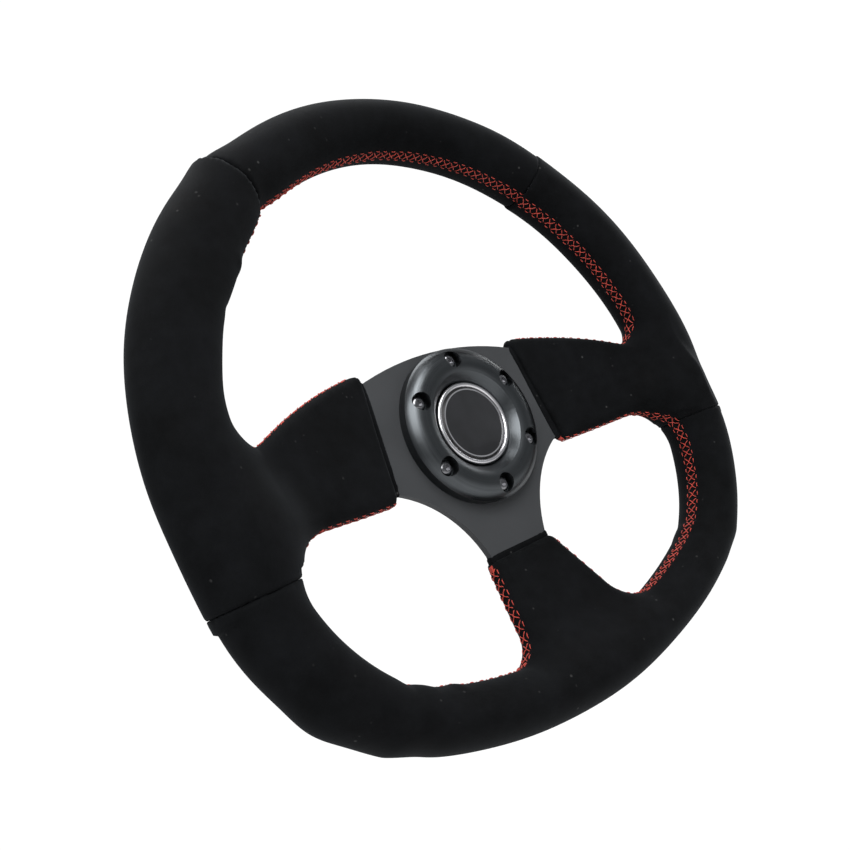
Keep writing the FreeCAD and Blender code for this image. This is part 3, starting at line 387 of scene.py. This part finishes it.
def surface_net(field, low, high, cell):
    """A mesh of near-square faces over the field's surface inside a box."""
    axes = [np.arange(low[i], high[i] + cell, cell) for i in range(3)]
    inside = field(*np.meshgrid(*axes, indexing="ij")) < 0
    count = sum(
        inside[i:inside.shape[0] - 1 + i, j:inside.shape[1] - 1 + j,
               k:inside.shape[2] - 1 + k].astype(np.int8)
        for i in (0, 1) for j in (0, 1) for k in (0, 1))
    active = (count > 0) & (count < 8)
    number = np.full(active.shape, -1)
    number[active] = np.arange(active.sum())
    cells = np.argwhere(active)
    points = np.stack([axes[i][cells[:, i]] for i in range(3)], 1) + cell / 2
    faces = []
    for axis in range(3):
        first = np.take(inside, range(inside.shape[axis] - 1), axis)
        second = np.take(inside, range(1, inside.shape[axis]), axis)
        edge = np.argwhere(first != second)
        others = [i for i in range(3) if i != axis]
        edge = edge[(edge[:, others[0]] > 0) & (edge[:, others[1]] > 0)]
        corners = []
        for step_a, step_b in ((1, 1), (0, 1), (0, 0), (1, 0)):
            at = edge.copy()
            at[:, others[0]] -= step_a
            at[:, others[1]] -= step_b
            corners.append(number[tuple(at.T)])
        quads = np.stack(corners, 1)
        outward = first[tuple(edge.T)]
        if axis == 1:
            outward = ~outward
        faces.append(np.where(outward[:, None], quads, quads[:, ::-1]))
    return points, np.concatenate(faces)


def relaxed(field, points, faces, rounds):
    """Evens out the mesh: each point moves to its neighbours' middle, then back on."""
    pairs = np.concatenate([faces[:, [i, (i + 1) % 4]] for i in range(4)])
    here = np.concatenate([pairs[:, 0], pairs[:, 1]])
    there = np.concatenate([pairs[:, 1], pairs[:, 0]])
    count = np.bincount(here, minlength=len(points))
    for _ in range(rounds):
        sums = [np.bincount(here, points[there, i], len(points)) for i in range(3)]
        points = onto_surface(field, np.stack(sums, 1) / count[:, None], 2)
    return points


def make_piece(name, points, faces, material, smooth=True):
    """A mesh object from points and faces, in metres."""
    mesh = bpy.data.meshes.new(name)
    mesh.from_pydata([tuple(p) for p in points], [], [tuple(int(i) for i in f) for f in faces])
    mesh.validate()
    mesh.update()
    piece = bpy.data.objects.new(name, mesh)
    bpy.context.scene.collection.objects.link(piece)
    mesh.materials.append(material)
    for polygon in mesh.polygons:
        polygon.use_smooth = smooth
    return piece


def tidy_mesh(piece):
    """Drops unused points and turns all faces outwards."""
    tidy = bmesh.new()
    tidy.from_mesh(piece.data)
    loose = [v for v in tidy.verts if not v.link_faces]
    bmesh.ops.delete(tidy, geom=loose, context="VERTS")
    bmesh.ops.recalc_face_normals(tidy, faces=tidy.faces)
    tidy.to_mesh(piece.data)
    tidy.free()


def apply_modifiers(piece):
    """Replaces a piece's mesh with what its modifiers make of it."""
    graph = bpy.context.evaluated_depsgraph_get()
    mesh = bpy.data.meshes.new_from_object(piece.evaluated_get(graph))
    piece.modifiers.clear()
    piece.data = mesh


# ---- Shader nodes as plain arithmetic ------------------------------------------
class Value:
    """One socket of a shader. Arithmetic on it, from either side, adds Math nodes."""

    def __init__(self, shader, socket):
        self.shader = shader
        self.socket = socket

    def _math(self, operation, first, second):
        return self.shader.node(
            "ShaderNodeMath", {"operation": operation}, {0: first, 1: second})

    def __add__(self, other):
        return self._math("ADD", self, other)

    def __sub__(self, other):
        return self._math("SUBTRACT", self, other)

    def __mul__(self, other):
        return self._math("MULTIPLY", self, other)

    def __rsub__(self, other):
        return self._math("SUBTRACT", other, self)

    __radd__ = __add__
    __rmul__ = __mul__


class Shader:
    """Builds a node tree for a material or a world."""

    def __init__(self, owner):
        owner.use_nodes = True
        self.tree = owner.node_tree
        self.tree.nodes.clear()

    def node(self, kind, settings=None, sockets=None, output=0):
        """Adds a node: its settings first, then values or links for its sockets."""
        made = self.tree.nodes.new(kind)
        for key, value in (settings or {}).items():
            setattr(made, key, value)
        for key, value in (sockets or {}).items():
            if isinstance(value, Value):
                self.tree.links.new(value.socket, made.inputs[key])
            else:
                made.inputs[key].default_value = value
        return Value(self, made.outputs[output])

    def place(self):
        """The piece's own coordinates, in metres."""
        return self.node("ShaderNodeTexCoord", output="Object")

    def noise(self, scale, detail=3.0, roughness=0.55, where=None):
        """Noise from 0 to 1, with this many features per metre."""
        where = where or self.place()
        return self.node("ShaderNodeTexNoise", None, {
            "Vector": where, "Scale": scale, "Detail": detail, "Roughness": roughness})

    def span(self, value, low, high, to_low=0.0, to_high=1.0):
        """Stretches low..high of a value to a new span, clamped at both ends."""
        return self.node("ShaderNodeMapRange", {"clamp": True}, {
            "Value": value, "From Min": low, "From Max": high,
            "To Min": to_low, "To Max": to_high})

    def blend(self, share, first, second):
        """A colour between two colours."""
        return self.node("ShaderNodeMix", {"data_type": "RGBA"}, {
            0: share, 6: first, 7: second}, output=2)

    def bump(self, height, distance, strength):
        """A normal that follows a height."""
        return self.node("ShaderNodeBump", None, {
            "Height": height, "Distance": distance, "Strength": strength})

    def finish(self, kind, shader):
        """Links a shader to a new output node."""
        end = self.tree.nodes.new(kind)
        self.tree.links.new(shader.socket, end.inputs["Surface"])

    def surface(self, **sockets):
        """The material's one surface, its sockets named with _ for a space."""
        named = {key.replace("_", " "): value for key, value in sockets.items()}
        bsdf = self.node("ShaderNodeBsdfPrincipled", None, named)
        self.finish("ShaderNodeOutputMaterial", bsdf)


def new_material(name):
    """A material and the builder of its nodes."""
    material = bpy.data.materials.new(name)
    return material, Shader(material)


def suede_material(name, lint_from):
    """Black napped suede: brushed patches, fine fibres, lint and a soft sheen.

    Lint lies where a slow noise passes lint_from, so a lower value gives more of it.
    """
    material, s = new_material(name)
    patches = s.noise(34.0, 4.0, 0.62)
    strokes = s.noise(150.0, 3.0, 0.6)
    fibres = s.noise(2600.0, 2.0, 0.7)
    nap = s.span(patches, 0.34, 0.70) * 0.6 + s.span(strokes, 0.3, 0.75) * 0.25
    nap = nap + s.span(fibres, 0.25, 0.8) * 0.25
    colour = s.blend(nap, (0.0004, 0.0005, 0.0006, 1), (0.0060, 0.0065, 0.0074, 1))
    specks = s.node("ShaderNodeTexVoronoi", {"feature": "F1"}, {
        "Vector": s.place(), "Scale": 210.0, "Randomness": 1.0})
    chosen = s.span(s.noise(95.0, 1.0), lint_from, lint_from + 0.08)
    lint = s.span(specks, 0.17, 0.06) * chosen
    colour = s.blend(lint * 0.35, colour, (0.10, 0.10, 0.098, 1))
    bumps = s.bump(fibres * 0.5 + strokes * 0.5 + lint * 0.6, 0.16 * MM, 0.55)
    s.surface(Base_Color=colour, Roughness=s.span(patches, 0.3, 0.7, 0.78, 0.97),
              Normal=bumps, Sheen_Weight=0.036, Sheen_Roughness=0.40,
              Sheen_Tint=(0.85, 0.92, 1.0, 1), Specular_IOR_Level=0.07)
    return material


def thread_material():
    """Red-orange twisted polyester thread."""
    material, s = new_material("red_thread")
    twist = s.noise(2400.0, 2.0)
    tone = s.noise(260.0, 2.0)
    colour = s.blend(s.span(tone, 0.3, 0.7), (0.36, 0.024, 0.012, 1), (0.66, 0.058, 0.030, 1))
    colour = s.blend(s.span(twist, 0.35, 0.7) * 0.4, colour, (0.16, 0.008, 0.005, 1))
    s.surface(Base_Color=colour, Roughness=s.span(tone, 0.3, 0.7, 0.45, 0.62),
              Normal=s.bump(twist, 0.08 * MM, 0.6), Sheen_Weight=0.15)
    return material


def plate_material():
    """Matte dark grey powder coat with a fine orange-peel and faint handling marks."""
    material, s = new_material("grey_powder_coat")
    grain = s.noise(3200.0, 2.0)
    cloud = s.noise(26.0, 4.0)
    colour = s.blend(s.span(cloud, 0.3, 0.7), (0.030, 0.032, 0.034, 1), (0.038, 0.040, 0.043, 1))
    colour = s.blend(s.span(grain, 0.4, 0.75) * 0.25, colour, (0.048, 0.050, 0.053, 1))
    marks = s.span(s.noise(420.0, 5.0, 0.8), 0.62, 0.8)
    s.surface(Base_Color=colour, Roughness=s.span(cloud, 0.3, 0.7, 0.52, 0.64) - marks * 0.06,
              Metallic=0.0, Specular_IOR_Level=0.42, Normal=s.bump(grain, 0.03 * MM, 0.5))
    return material


def turned_material(name, dark, light, low_gloss, high_gloss):
    """Turned metal: fine rings about the hub axis under a coloured anodised film."""
    material, s = new_material(name)
    place = s.place()
    spread = s.node("ShaderNodeVectorMath", {"operation": "MULTIPLY"}, {
        0: place, 1: (1.0, 0.0, 1.0)})
    radius = s.node("ShaderNodeVectorMath", {"operation": "LENGTH"}, {0: spread}, output="Value")
    depth = s.node("ShaderNodeSeparateXYZ", None, {0: place}, output=1)
    line = s.node("ShaderNodeCombineXYZ", None, {0: radius, 1: depth, 2: 0.0})
    rings = s.noise(5200.0, 3.0, 0.7, line)
    bands = s.noise(700.0, 3.0, 0.6, line)
    cloud = s.noise(60.0, 3.0)
    colour = s.blend(s.span(rings, 0.3, 0.7) * 0.5 + s.span(bands, 0.3, 0.7) * 0.3, dark, light)
    gloss = s.span(rings, 0.25, 0.75, low_gloss, high_gloss) + s.span(cloud, 0.3, 0.7, -0.03, 0.03)
    s.surface(Base_Color=colour, Metallic=1.0, Roughness=gloss,
              Normal=s.bump(rings, 0.012 * MM, 0.5))
    return material


def metal_material(name, dark, light, low_gloss, high_gloss):
    """Plain metal with a fine uneven finish and a few rubbed spots."""
    material, s = new_material(name)
    fine = s.noise(900.0, 4.0, 0.65)
    worn = s.span(s.noise(180.0, 4.0, 0.7), 0.52, 0.75)
    colour = s.blend(s.span(fine, 0.3, 0.7), dark, light)
    s.surface(Base_Color=colour, Metallic=1.0,
              Roughness=s.span(fine, 0.3, 0.7, low_gloss, high_gloss) + worn * 0.08,
              Normal=s.bump(fine, 0.01 * MM, 0.4))
    return material


def plastic_material(name, dark, light, low_gloss, high_gloss, grain=1500.0, shine=0.5):
    """Moulded plastic or foam with a fine grain."""
    material, s = new_material(name)
    fine = s.noise(grain, 3.0, 0.6)
    cloud = s.noise(70.0, 3.0)
    colour = s.blend(s.span(cloud, 0.3, 0.7) * 0.6 + s.span(fine, 0.3, 0.7) * 0.4, dark, light)
    s.surface(Base_Color=colour, Roughness=s.span(fine, 0.3, 0.7, low_gloss, high_gloss),
              Specular_IOR_Level=shine, Normal=s.bump(fine, 0.01 * MM, 0.35))
    return material


def emblem_material():
    """Gloss black under a clear coat, with a little dust."""
    material, s = new_material("emblem_gloss")
    cloud = s.noise(90.0, 3.0)
    dust = s.span(s.noise(2200.0, 2.0), 0.66, 0.74)
    colour = s.blend(s.span(cloud, 0.3, 0.7), (0.006, 0.006, 0.007, 1), (0.011, 0.011, 0.013, 1))
    colour = s.blend(dust * 0.3, colour, (0.06, 0.06, 0.06, 1))
    s.surface(Base_Color=colour, Roughness=s.span(cloud, 0.3, 0.7, 0.10, 0.17) + dust * 0.1,
              Coat_Weight=0.7, Coat_Roughness=0.06, Specular_IOR_Level=0.5)
    return material


suede = suede_material("black_suede", 0.60)
hem_suede = suede_material("cut_suede_edge", 0.38)
thread = thread_material()
foam = plastic_material(
    "black_foam", (0.003, 0.003, 0.003, 1), (0.006, 0.006, 0.006, 1), 0.85, 0.97,
    grain=900.0, shine=0.05)
finishes = {
    "plate": plate_material(),
    "bezel": turned_material(
        "black_anodised", (0.062, 0.067, 0.071, 1), (0.104, 0.111, 0.117, 1), 0.26, 0.37),
    "screw": metal_material(
        "black_oxide", (0.16, 0.16, 0.17, 1), (0.27, 0.27, 0.28, 1), 0.14, 0.24),
    "trim": turned_material(
        "satin_bright", (0.62, 0.61, 0.63, 1), (0.80, 0.79, 0.81, 1), 0.20, 0.30),
    "emblem": emblem_material(),
    "black_plastic": plastic_material(
        "black_moulding", (0.006, 0.006, 0.006, 1), (0.012, 0.012, 0.012, 1), 0.38, 0.52),
    "steel": metal_material(
        "ground_steel", (0.46, 0.46, 0.47, 1), (0.60, 0.60, 0.61, 1), 0.16, 0.28),
    "spring_steel": metal_material(
        "spring_wire", (0.22, 0.22, 0.23, 1), (0.36, 0.36, 0.37, 1), 0.24, 0.38),
    "brass": metal_material(
        "plain_brass", (0.62, 0.44, 0.17, 1), (0.78, 0.58, 0.26, 1), 0.22, 0.36),
    "hub": turned_material(
        "dark_anodised", (0.045, 0.047, 0.050, 1), (0.085, 0.088, 0.092, 1), 0.26, 0.40),
    "collar": turned_material(
        "clear_anodised", (0.40, 0.41, 0.43, 1), (0.56, 0.57, 0.59, 1), 0.24, 0.36),
}


# ---- CAD nodes that stay: they get their finish ---------------------------------
def finish_frame():
    """Gives each CAD node the finish of its material slot."""
    for part in frame["record"]["subparts"]:
        node, slot = part["node"], part["material_slot"]
        if slot in finishes:
            mesh = frame["nodes"][node].data
            mesh.materials.clear()
            mesh.materials.append(finishes[slot])


finish_frame()


# ---- Camera ----------------------------------------------------------------------
CAMERA_TURN = (-38.55, -7.5, -23.05)    # azimuth, elevation and roll in degrees
CAMERA_PLACE = (396, -22.9, 0.5)        # back, right and up from the plate in millimetres
CAMERA_SENSOR = 36.0
CAMERA_LENS = 31.7


def aim(azimuth, elevation, roll):
    """Directions of a camera: back towards it, image right and image up."""
    a, e, r = (math.radians(v) for v in (azimuth, elevation, roll))
    back = Vector((math.sin(a) * math.cos(e), -math.cos(a) * math.cos(e), math.sin(e)))
    right = (-back).cross(Vector((0, 0, 1))).normalized()
    up = right.cross(-back)
    turned_right = right * math.cos(r) + up * math.sin(r)
    turned_up = up * math.cos(r) - right * math.sin(r)
    return back, turned_right, turned_up


def make_camera():
    """The camera, low on the driver's left, rolled and close to the wheel."""
    back, right, up = aim(*CAMERA_TURN)
    away, across, above = CAMERA_PLACE
    target = Vector((0, PLATE_FRONT, 0))
    place = target + back * away * MM + right * across * MM + up * above * MM
    data = bpy.data.cameras.new("camera")
    data.sensor_width = CAMERA_SENSOR
    data.lens = CAMERA_LENS
    camera = bpy.data.objects.new("camera", data)
    bpy.context.scene.collection.objects.link(camera)
    turn = Matrix((right, up, back)).transposed()
    camera.matrix_world = Matrix.Translation(place) @ turn.to_4x4()
    data.clip_start = 0.01
    bpy.context.scene.camera = camera


make_camera()


# ---- Suede covers and foam -----------------------------------------------------
# A box in metres round each suede panel: its low corner and its high corner.
PANELS = {
    "top": ((-0.115, -0.090, 0.095), (0.115, -0.044, 0.185)),
    "left": ((-0.183, -0.090, -0.060), (-0.048, -0.028, 0.163)),
    "right": ((0.048, -0.090, -0.060), (0.183, -0.028, 0.163)),
    "bottom": ((-0.180, -0.090, -0.155), (0.180, -0.028, -0.010)),
}
FOAM_BOX = ((-0.180, -0.090, -0.155), (0.180, -0.028, 0.185))


def make_cover(name):
    """A suede panel: outer skin with its ends turned in at the seams."""
    low, high = PANELS[name]
    field = panel_field(name)
    points, faces = surface_net(field, low, high, NET_CELL)
    points = onto_surface(field, points)
    points = relaxed(field, points, faces, 3)
    depth = padding_field(*points.T)
    keep = (depth[faces] > -TUCK).all(1)
    piece = make_piece("cover_skin_" + name, points, faces[keep], suede)
    tidy_mesh(piece)
    skin = piece.modifiers.new("suede thickness", "SOLIDIFY")
    skin.thickness = SUEDE
    skin.offset = -1
    skin.use_rim = True
    apply_modifiers(piece)
    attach(piece, WHEEL)
    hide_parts("cover_" + name)


for panel in PANELS:
    make_cover(panel)


def make_foam():
    """The moulded foam under the suede."""
    def field(x, y, z):
        return padding_field(x, y, z) + SUEDE + FOAM_GAP
    points, faces = surface_net(field, *FOAM_BOX, 2 * NET_CELL)
    points = relaxed(field, onto_surface(field, points), faces, 1)
    piece = make_piece("foam_core", points, faces, foam)
    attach(piece, WHEEL)
    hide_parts("foam_padding")


make_foam()


# ---- Stitching -------------------------------------------------------------------
STITCH_PITCH = 5.2 * MM
STITCH_MARGIN = 3.0 * MM    # the stitching begins this far past a spoke padding's root
STITCH_HALF = 2.7 * MM      # half width of the band of crosses
DASH_OUT = 0.45 * MM        # the edge stitches run this far outside the crosses
THREAD = 0.245 * MM         # half thickness of the thread
THREAD_SIDES = 6
THREAD_END = 0.55           # its ends are this share as thick
DASH = (0.22, 0.80)         # where an edge stitch starts and ends between two crosses
TACK_STITCHES = 7           # side by side at each end
TACK_PITCH = 0.45 * MM
TACK_SHARE = 0.7            # a tack's width as a share of the band
STITCH_UNEVEN = 0.2 * MM    # how far the holes stray from their line
UNDER_RISE = 0.30 * MM      # how far the lower thread of a cross stands off the suede
OVER_RISE = 0.62 * MM
TACK_RISE = 0.5 * MM
HOLE_SINK = 0.5 * MM        # a thread's ends sink into the suede by this
RAY_SPACING = 0.5           # an opening's edge is looked for along rays, degrees apart
RAY_START = 20 * MM
RAY_ROUNDS = 240
RAY_SHARE = 0.6             # each round goes this share of the gap that is left
RAY_STEPS = (-1 * MM, 1.5 * MM)     # within these limits
RAY_NEAR = 0.3 * MM         # and a ray counts if it ends this close to the padding
OPENINGS = {                # a place inside each opening
    "upper": (0.0, 0.070),
    "lower_left": (-0.078, -0.066),
    "lower_right": (0.078, -0.066),
}


def opening_outline(centre):
    """Points where rays from inside an opening meet the padding's stitched line."""
    angles = np.radians(np.arange(0, 360, RAY_SPACING))
    across, up = np.sin(angles), np.cos(angles)
    reach = np.full(len(angles), RAY_START)
    for _ in range(RAY_ROUNDS):
        x, z = centre[0] + across * reach, centre[1] + up * reach
        gap = padding_field(x, seam_line_height(x, z), z)
        reach = reach + np.clip(gap * RAY_SHARE, *RAY_STEPS)
    return np.stack([x, z], 1)[np.abs(gap) < RAY_NEAR]


def on_padding(outline, centre):
    """Keeps the part of the outline around its own opening, from root to root."""
    x, z = outline.T
    own_half = z * centre[1] > 0
    own_side = x * centre[0] >= 0
    past_root = (np.abs(x) > SIDE_ROOT + STITCH_MARGIN) | (z < -BOTTOM_ROOT - STITCH_MARGIN)
    past_root = past_root | (z > SIDE_PAD_TOP + 3 * STITCH_MARGIN)
    run = outline[own_half & own_side & past_root]
    gap = np.linalg.norm(run - np.roll(run, 1, axis=0), axis=1).argmax()
    return np.roll(run, -gap, axis=0)


def resampled(line, pitch):
    """Points at even distances along a line."""
    steps = np.linalg.norm(np.diff(line, axis=0), axis=1)
    travelled = np.concatenate([[0], np.cumsum(steps)])
    count = int(travelled[-1] / pitch)
    at = np.linspace(0, travelled[-1], count + 1)
    return np.stack([np.interp(at, travelled, line[:, i]) for i in range(line.shape[1])], 1)


def unit(vectors):
    """The same directions with length 1."""
    return vectors / np.maximum(np.linalg.norm(vectors, axis=-1, keepdims=True), 1e-12)


def tube_along(route, out):
    """Points and faces of a closed thread of round section along a short route."""
    along = unit(np.gradient(route, axis=0))
    side = unit(np.cross(along, out))
    lift = np.cross(side, along)
    sides = THREAD_SIDES
    turns = np.arange(sides) * 2 * np.pi / sides
    taper = np.ones(len(route))
    taper[0] = taper[-1] = THREAD_END
    rings = []
    for i in range(len(route)):
        ring = np.cos(turns)[:, None] * side[i] + np.sin(turns)[:, None] * lift[i]
        rings.append(route[i] + THREAD * taper[i] * ring)
    points = np.concatenate(rings)
    faces = []
    for i in range(len(route) - 1):
        for j in range(sides):
            k = (j + 1) % sides
            faces.append((i * sides + j, i * sides + k, (i + 1) * sides + k, (i + 1) * sides + j))
    return points, faces


class Threads:
    """Gathers many short threads into one mesh."""

    def __init__(self):
        self.points = []
        self.faces = []
        self.count = 0

    def add(self, route, out):
        """Adds one thread with closed ends."""
        points, faces = tube_along(route, out)
        self.points.append(points)
        self.faces += [tuple(i + self.count for i in face) for face in faces]
        last = self.count + len(points) - THREAD_SIDES
        self.faces.append(tuple(self.count + i for i in reversed(range(THREAD_SIDES))))
        self.faces.append(tuple(last + i for i in range(THREAD_SIDES)))
        self.count += len(points)


def stitch_route(start, end, height, steps=7):
    """A stitch from hole to hole that lies on the padding and bows a little."""
    share = np.linspace(0, 1, steps)[:, None]
    route = start + (end - start) * share
    route = onto_surface(padding_field, route, 3)
    out = unit(slope_of(padding_field, route))
    bow = np.sin(np.pi * share)
    rise = bow**0.6 * height - (1 - bow**0.35) * HOLE_SINK
    return route + out * rise, out


def stitch_opening(threads, name, centre):
    """Crossed stitches, a short stitch beside each cross and a bar tack at both ends."""
    outline = resampled(on_padding(opening_outline(centre), centre), STITCH_PITCH)
    x, z = outline.T
    line = np.stack([x, seam_line_height(x, z), z], 1)
    line = onto_surface(padding_field, line, 3)
    along = unit(np.gradient(line, axis=0))
    out = unit(slope_of(padding_field, line))
    across = unit(np.cross(out, along))
    across = across * np.sign(across[:, 1:2] + 1e-9)
    rng = np.random.default_rng(sum(map(ord, name)))
    sway = rng.normal(0, STITCH_UNEVEN, (len(line), 4))
    front = line - across * (STITCH_HALF + sway[:, :1]) + along * sway[:, 1:2]
    back = line + across * (STITCH_HALF + sway[:, 2:3]) + along * sway[:, 3:]
    for i in range(len(line) - 1):
        threads.add(*stitch_route(front[i], back[i + 1], UNDER_RISE))
        threads.add(*stitch_route(back[i], front[i + 1], OVER_RISE))
        for edge, outward in ((front, -1), (back, 1)):
            dash = edge[i:i + 2] + across[i:i + 2] * outward * DASH_OUT
            step = dash[1] - dash[0]
            threads.add(*stitch_route(
                dash[0] + step * DASH[0], dash[0] + step * DASH[1], UNDER_RISE, 5))
    for end in (0, -1):
        for i in range(TACK_STITCHES):
            middle = line[end] + along[end] * TACK_PITCH * (i - TACK_STITCHES / 2)
            half = across[end] * STITCH_HALF * TACK_SHARE
            threads.add(*stitch_route(middle - half, middle + half, TACK_RISE))


def make_stitching():
    """All the stitching round the three openings, as one piece."""
    threads = Threads()
    for name, centre in OPENINGS.items():
        stitch_opening(threads, name, centre)
    piece = make_piece("cross_stitching", np.concatenate(threads.points), threads.faces, thread)
    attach(piece, WHEEL)
    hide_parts("edge_stitching")


make_stitching()


# ---- Hem bands ---------------------------------------------------------------------
HEM_LIFT = 0.7 * MM         # how far a band stands off the plate
HEM_RAMP = 1.2 * MM         # its edge on the plate is thinned down over this length
HEM_SKIN = 0.5 * MM
HEM_LEAN = 5.5 * MM         # a side band's edge on the plate leans by this much
HEM_STEPS = (16, 120)       # rings along a band, points round each ring
HEM_SQUARENESS = 0.22       # exponent of the rounded rectangle round the plate
HEM_THIN = 0.25             # share of the lift left at the edge on the plate
HEM_WANDER = 0.09 * MM      # unevenness of that edge from point to point


def hem_ring(half_width, lift):
    """Points round a stub of the plate: across it and through its thickness."""
    turns = np.arange(HEM_STEPS[1]) * 2 * np.pi / HEM_STEPS[1]
    across = np.sign(np.cos(turns)) * np.abs(np.cos(turns)) ** HEM_SQUARENESS
    through_plate = np.sign(np.sin(turns)) * np.abs(np.sin(turns)) ** HEM_SQUARENESS
    half_plate = (PLATE_BACK - PLATE_FRONT) / 2
    return across * (half_width + lift), through_plate * (half_plate + lift)


def make_hem(name):
    """A band of suede glued round a stub of the plate, with a soft uneven edge."""
    low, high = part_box("hem_" + name)
    rng = np.random.default_rng(len(name))
    wander = np.cumsum(rng.normal(0, HEM_WANDER, HEM_STEPS[1]))
    wander = wander - np.linspace(wander[0], wander[-1], HEM_STEPS[1])
    hem_wall = (high.y - low.y - (PLATE_BACK - PLATE_FRONT)) / 2
    length = high.z - low.z if name == "bottom" else high.x - low.x
    rings = []
    for share in np.linspace(0, 1, HEM_STEPS[0]):
        lift = HEM_LIFT * (HEM_THIN + (1 - HEM_THIN) * eased(share * length / HEM_RAMP))
        if name == "bottom":
            x, y = hem_ring((high.x - low.x) / 2 - hem_wall, lift)
            z = high.z - wander * (1 - share) - share * length + 0 * x
        else:
            side = 1 if name == "right" else -1
            z, y = hem_ring((high.z - low.z) / 2 - hem_wall, lift)
            lean = HEM_LEAN * (0.5 - z / (high.z - low.z))
            start = min(abs(low.x), abs(high.x)) + lean + wander
            x = side * (start + (max(abs(low.x), abs(high.x)) - start) * share)
            z = z + (low.z + high.z) / 2
        rings.append(np.stack([x, y + PLATE_MIDDLE, z], 1))
    count = HEM_STEPS[1]
    faces = []
    for i in range(HEM_STEPS[0] - 1):
        for j in range(count):
            k = (j + 1) % count
            faces.append((i * count + j, i * count + k, (i + 1) * count + k, (i + 1) * count + j))
    piece = make_piece("hem_band_" + name, np.concatenate(rings), faces, hem_suede)
    tidy_mesh(piece)
    skin = piece.modifiers.new("suede thickness", "SOLIDIFY")
    skin.thickness = HEM_SKIN
    skin.offset = -1
    skin.use_rim = True
    apply_modifiers(piece)
    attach(piece, WHEEL)
    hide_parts("hem_" + name)


for hem_name in ("left", "right", "bottom"):
    make_hem(hem_name)


# ---- Springs -------------------------------------------------------------------------
def make_spring(node, joint):
    """A coil spring copied from its CAD node onto the wheel. Its joint's travel is looked up, but
    nothing uses it, so the spring keeps its length.
    """
    low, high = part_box(node)
    travel = next(
        j["range_m"][1] for j in frame["record"]["behaviour"]["joints"] if j["name"] == joint)
    piece = bpy.data.objects.new(node + "_coil", frame["nodes"][node].data.copy())
    bpy.context.scene.collection.objects.link(piece)
    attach(piece, WHEEL)
    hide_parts(node)
    1 - travel / (high.y - low.y)
    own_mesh(piece)


make_spring("horn_spring", "horn_press")
make_spring("collar_spring", "collar_slide")


# ---- Floor, world and lights -------------------------------------------------------
FLOOR_HALF = 30.0
FLOOR_DROP = 0.45           # below the wheel, in metres
PAPER_GLOW = 1.05           # strength of the white that the camera sees


def make_floor():
    """A pale floor below the object that reads as white paper."""
    height = cad_low.z - FLOOR_DROP
    corners = ((-1, -1), (1, -1), (1, 1), (-1, 1))
    points = [(x * FLOOR_HALF, y * FLOOR_HALF, height) for x, y in corners]
    material, s = new_material("pale_floor")
    cloud = s.noise(3.0, 2.0)
    paper = s.node("ShaderNodeBsdfDiffuse", None, {
        "Color": s.blend(cloud, (0.74, 0.74, 0.74, 1), (0.80, 0.80, 0.80, 1))})
    glow = s.node("ShaderNodeEmission", None, {"Color": (1, 1, 1, 1), "Strength": PAPER_GLOW})
    seen = s.node("ShaderNodeLightPath", output="Is Camera Ray")
    mixed = s.node("ShaderNodeMixShader", None, {0: seen, 1: paper, 2: glow})
    s.finish("ShaderNodeOutputMaterial", mixed)
    floor = make_piece("floor", points, [(0, 1, 2, 3)], material, smooth=False)


def make_world():
    """Even light from all sides, seen by the camera as white."""
    world = bpy.data.worlds.new("studio")
    bpy.context.scene.world = world
    s = Shader(world)
    seen = s.node("ShaderNodeLightPath", output="Is Camera Ray")
    fill = s.node("ShaderNodeBackground", None, {"Color": (0.94, 0.97, 1.0, 1), "Strength": 0.34})
    paper = s.node("ShaderNodeBackground", None, {"Color": (1, 1, 1, 1), "Strength": PAPER_GLOW})
    mixed = s.node("ShaderNodeMixShader", None, {0: seen, 1: fill, 2: paper})
    s.finish("ShaderNodeOutputWorld", mixed)


def add_softbox(name, place, size, power):
    """A rectangular light in metres and watts, aimed at the hub."""
    data = bpy.data.lights.new(name, "AREA")
    data.shape = "RECTANGLE"
    data.size, data.size_y = size
    data.energy = power
    lamp = bpy.data.objects.new(name, data)
    bpy.context.scene.collection.objects.link(lamp)
    lamp.location = place
    lamp.rotation_euler = (-Vector(place)).to_track_quat("-Z", "Y").to_euler()


make_floor()
make_world()
add_softbox("key", (-0.70, -1.10, 0.80), (1.1, 1.0), 20)
add_softbox("front top", (0.02, -1.00, 1.05), (0.6, 0.5), 6.5)
add_softbox("top", (0.1, 0.1, 1.5), (1.2, 1.0), 20)
add_softbox("right", (1.5, -0.2, 0.5), (0.6, 0.8), 8)

bpy.context.scene.view_settings.view_transform = "Standard"
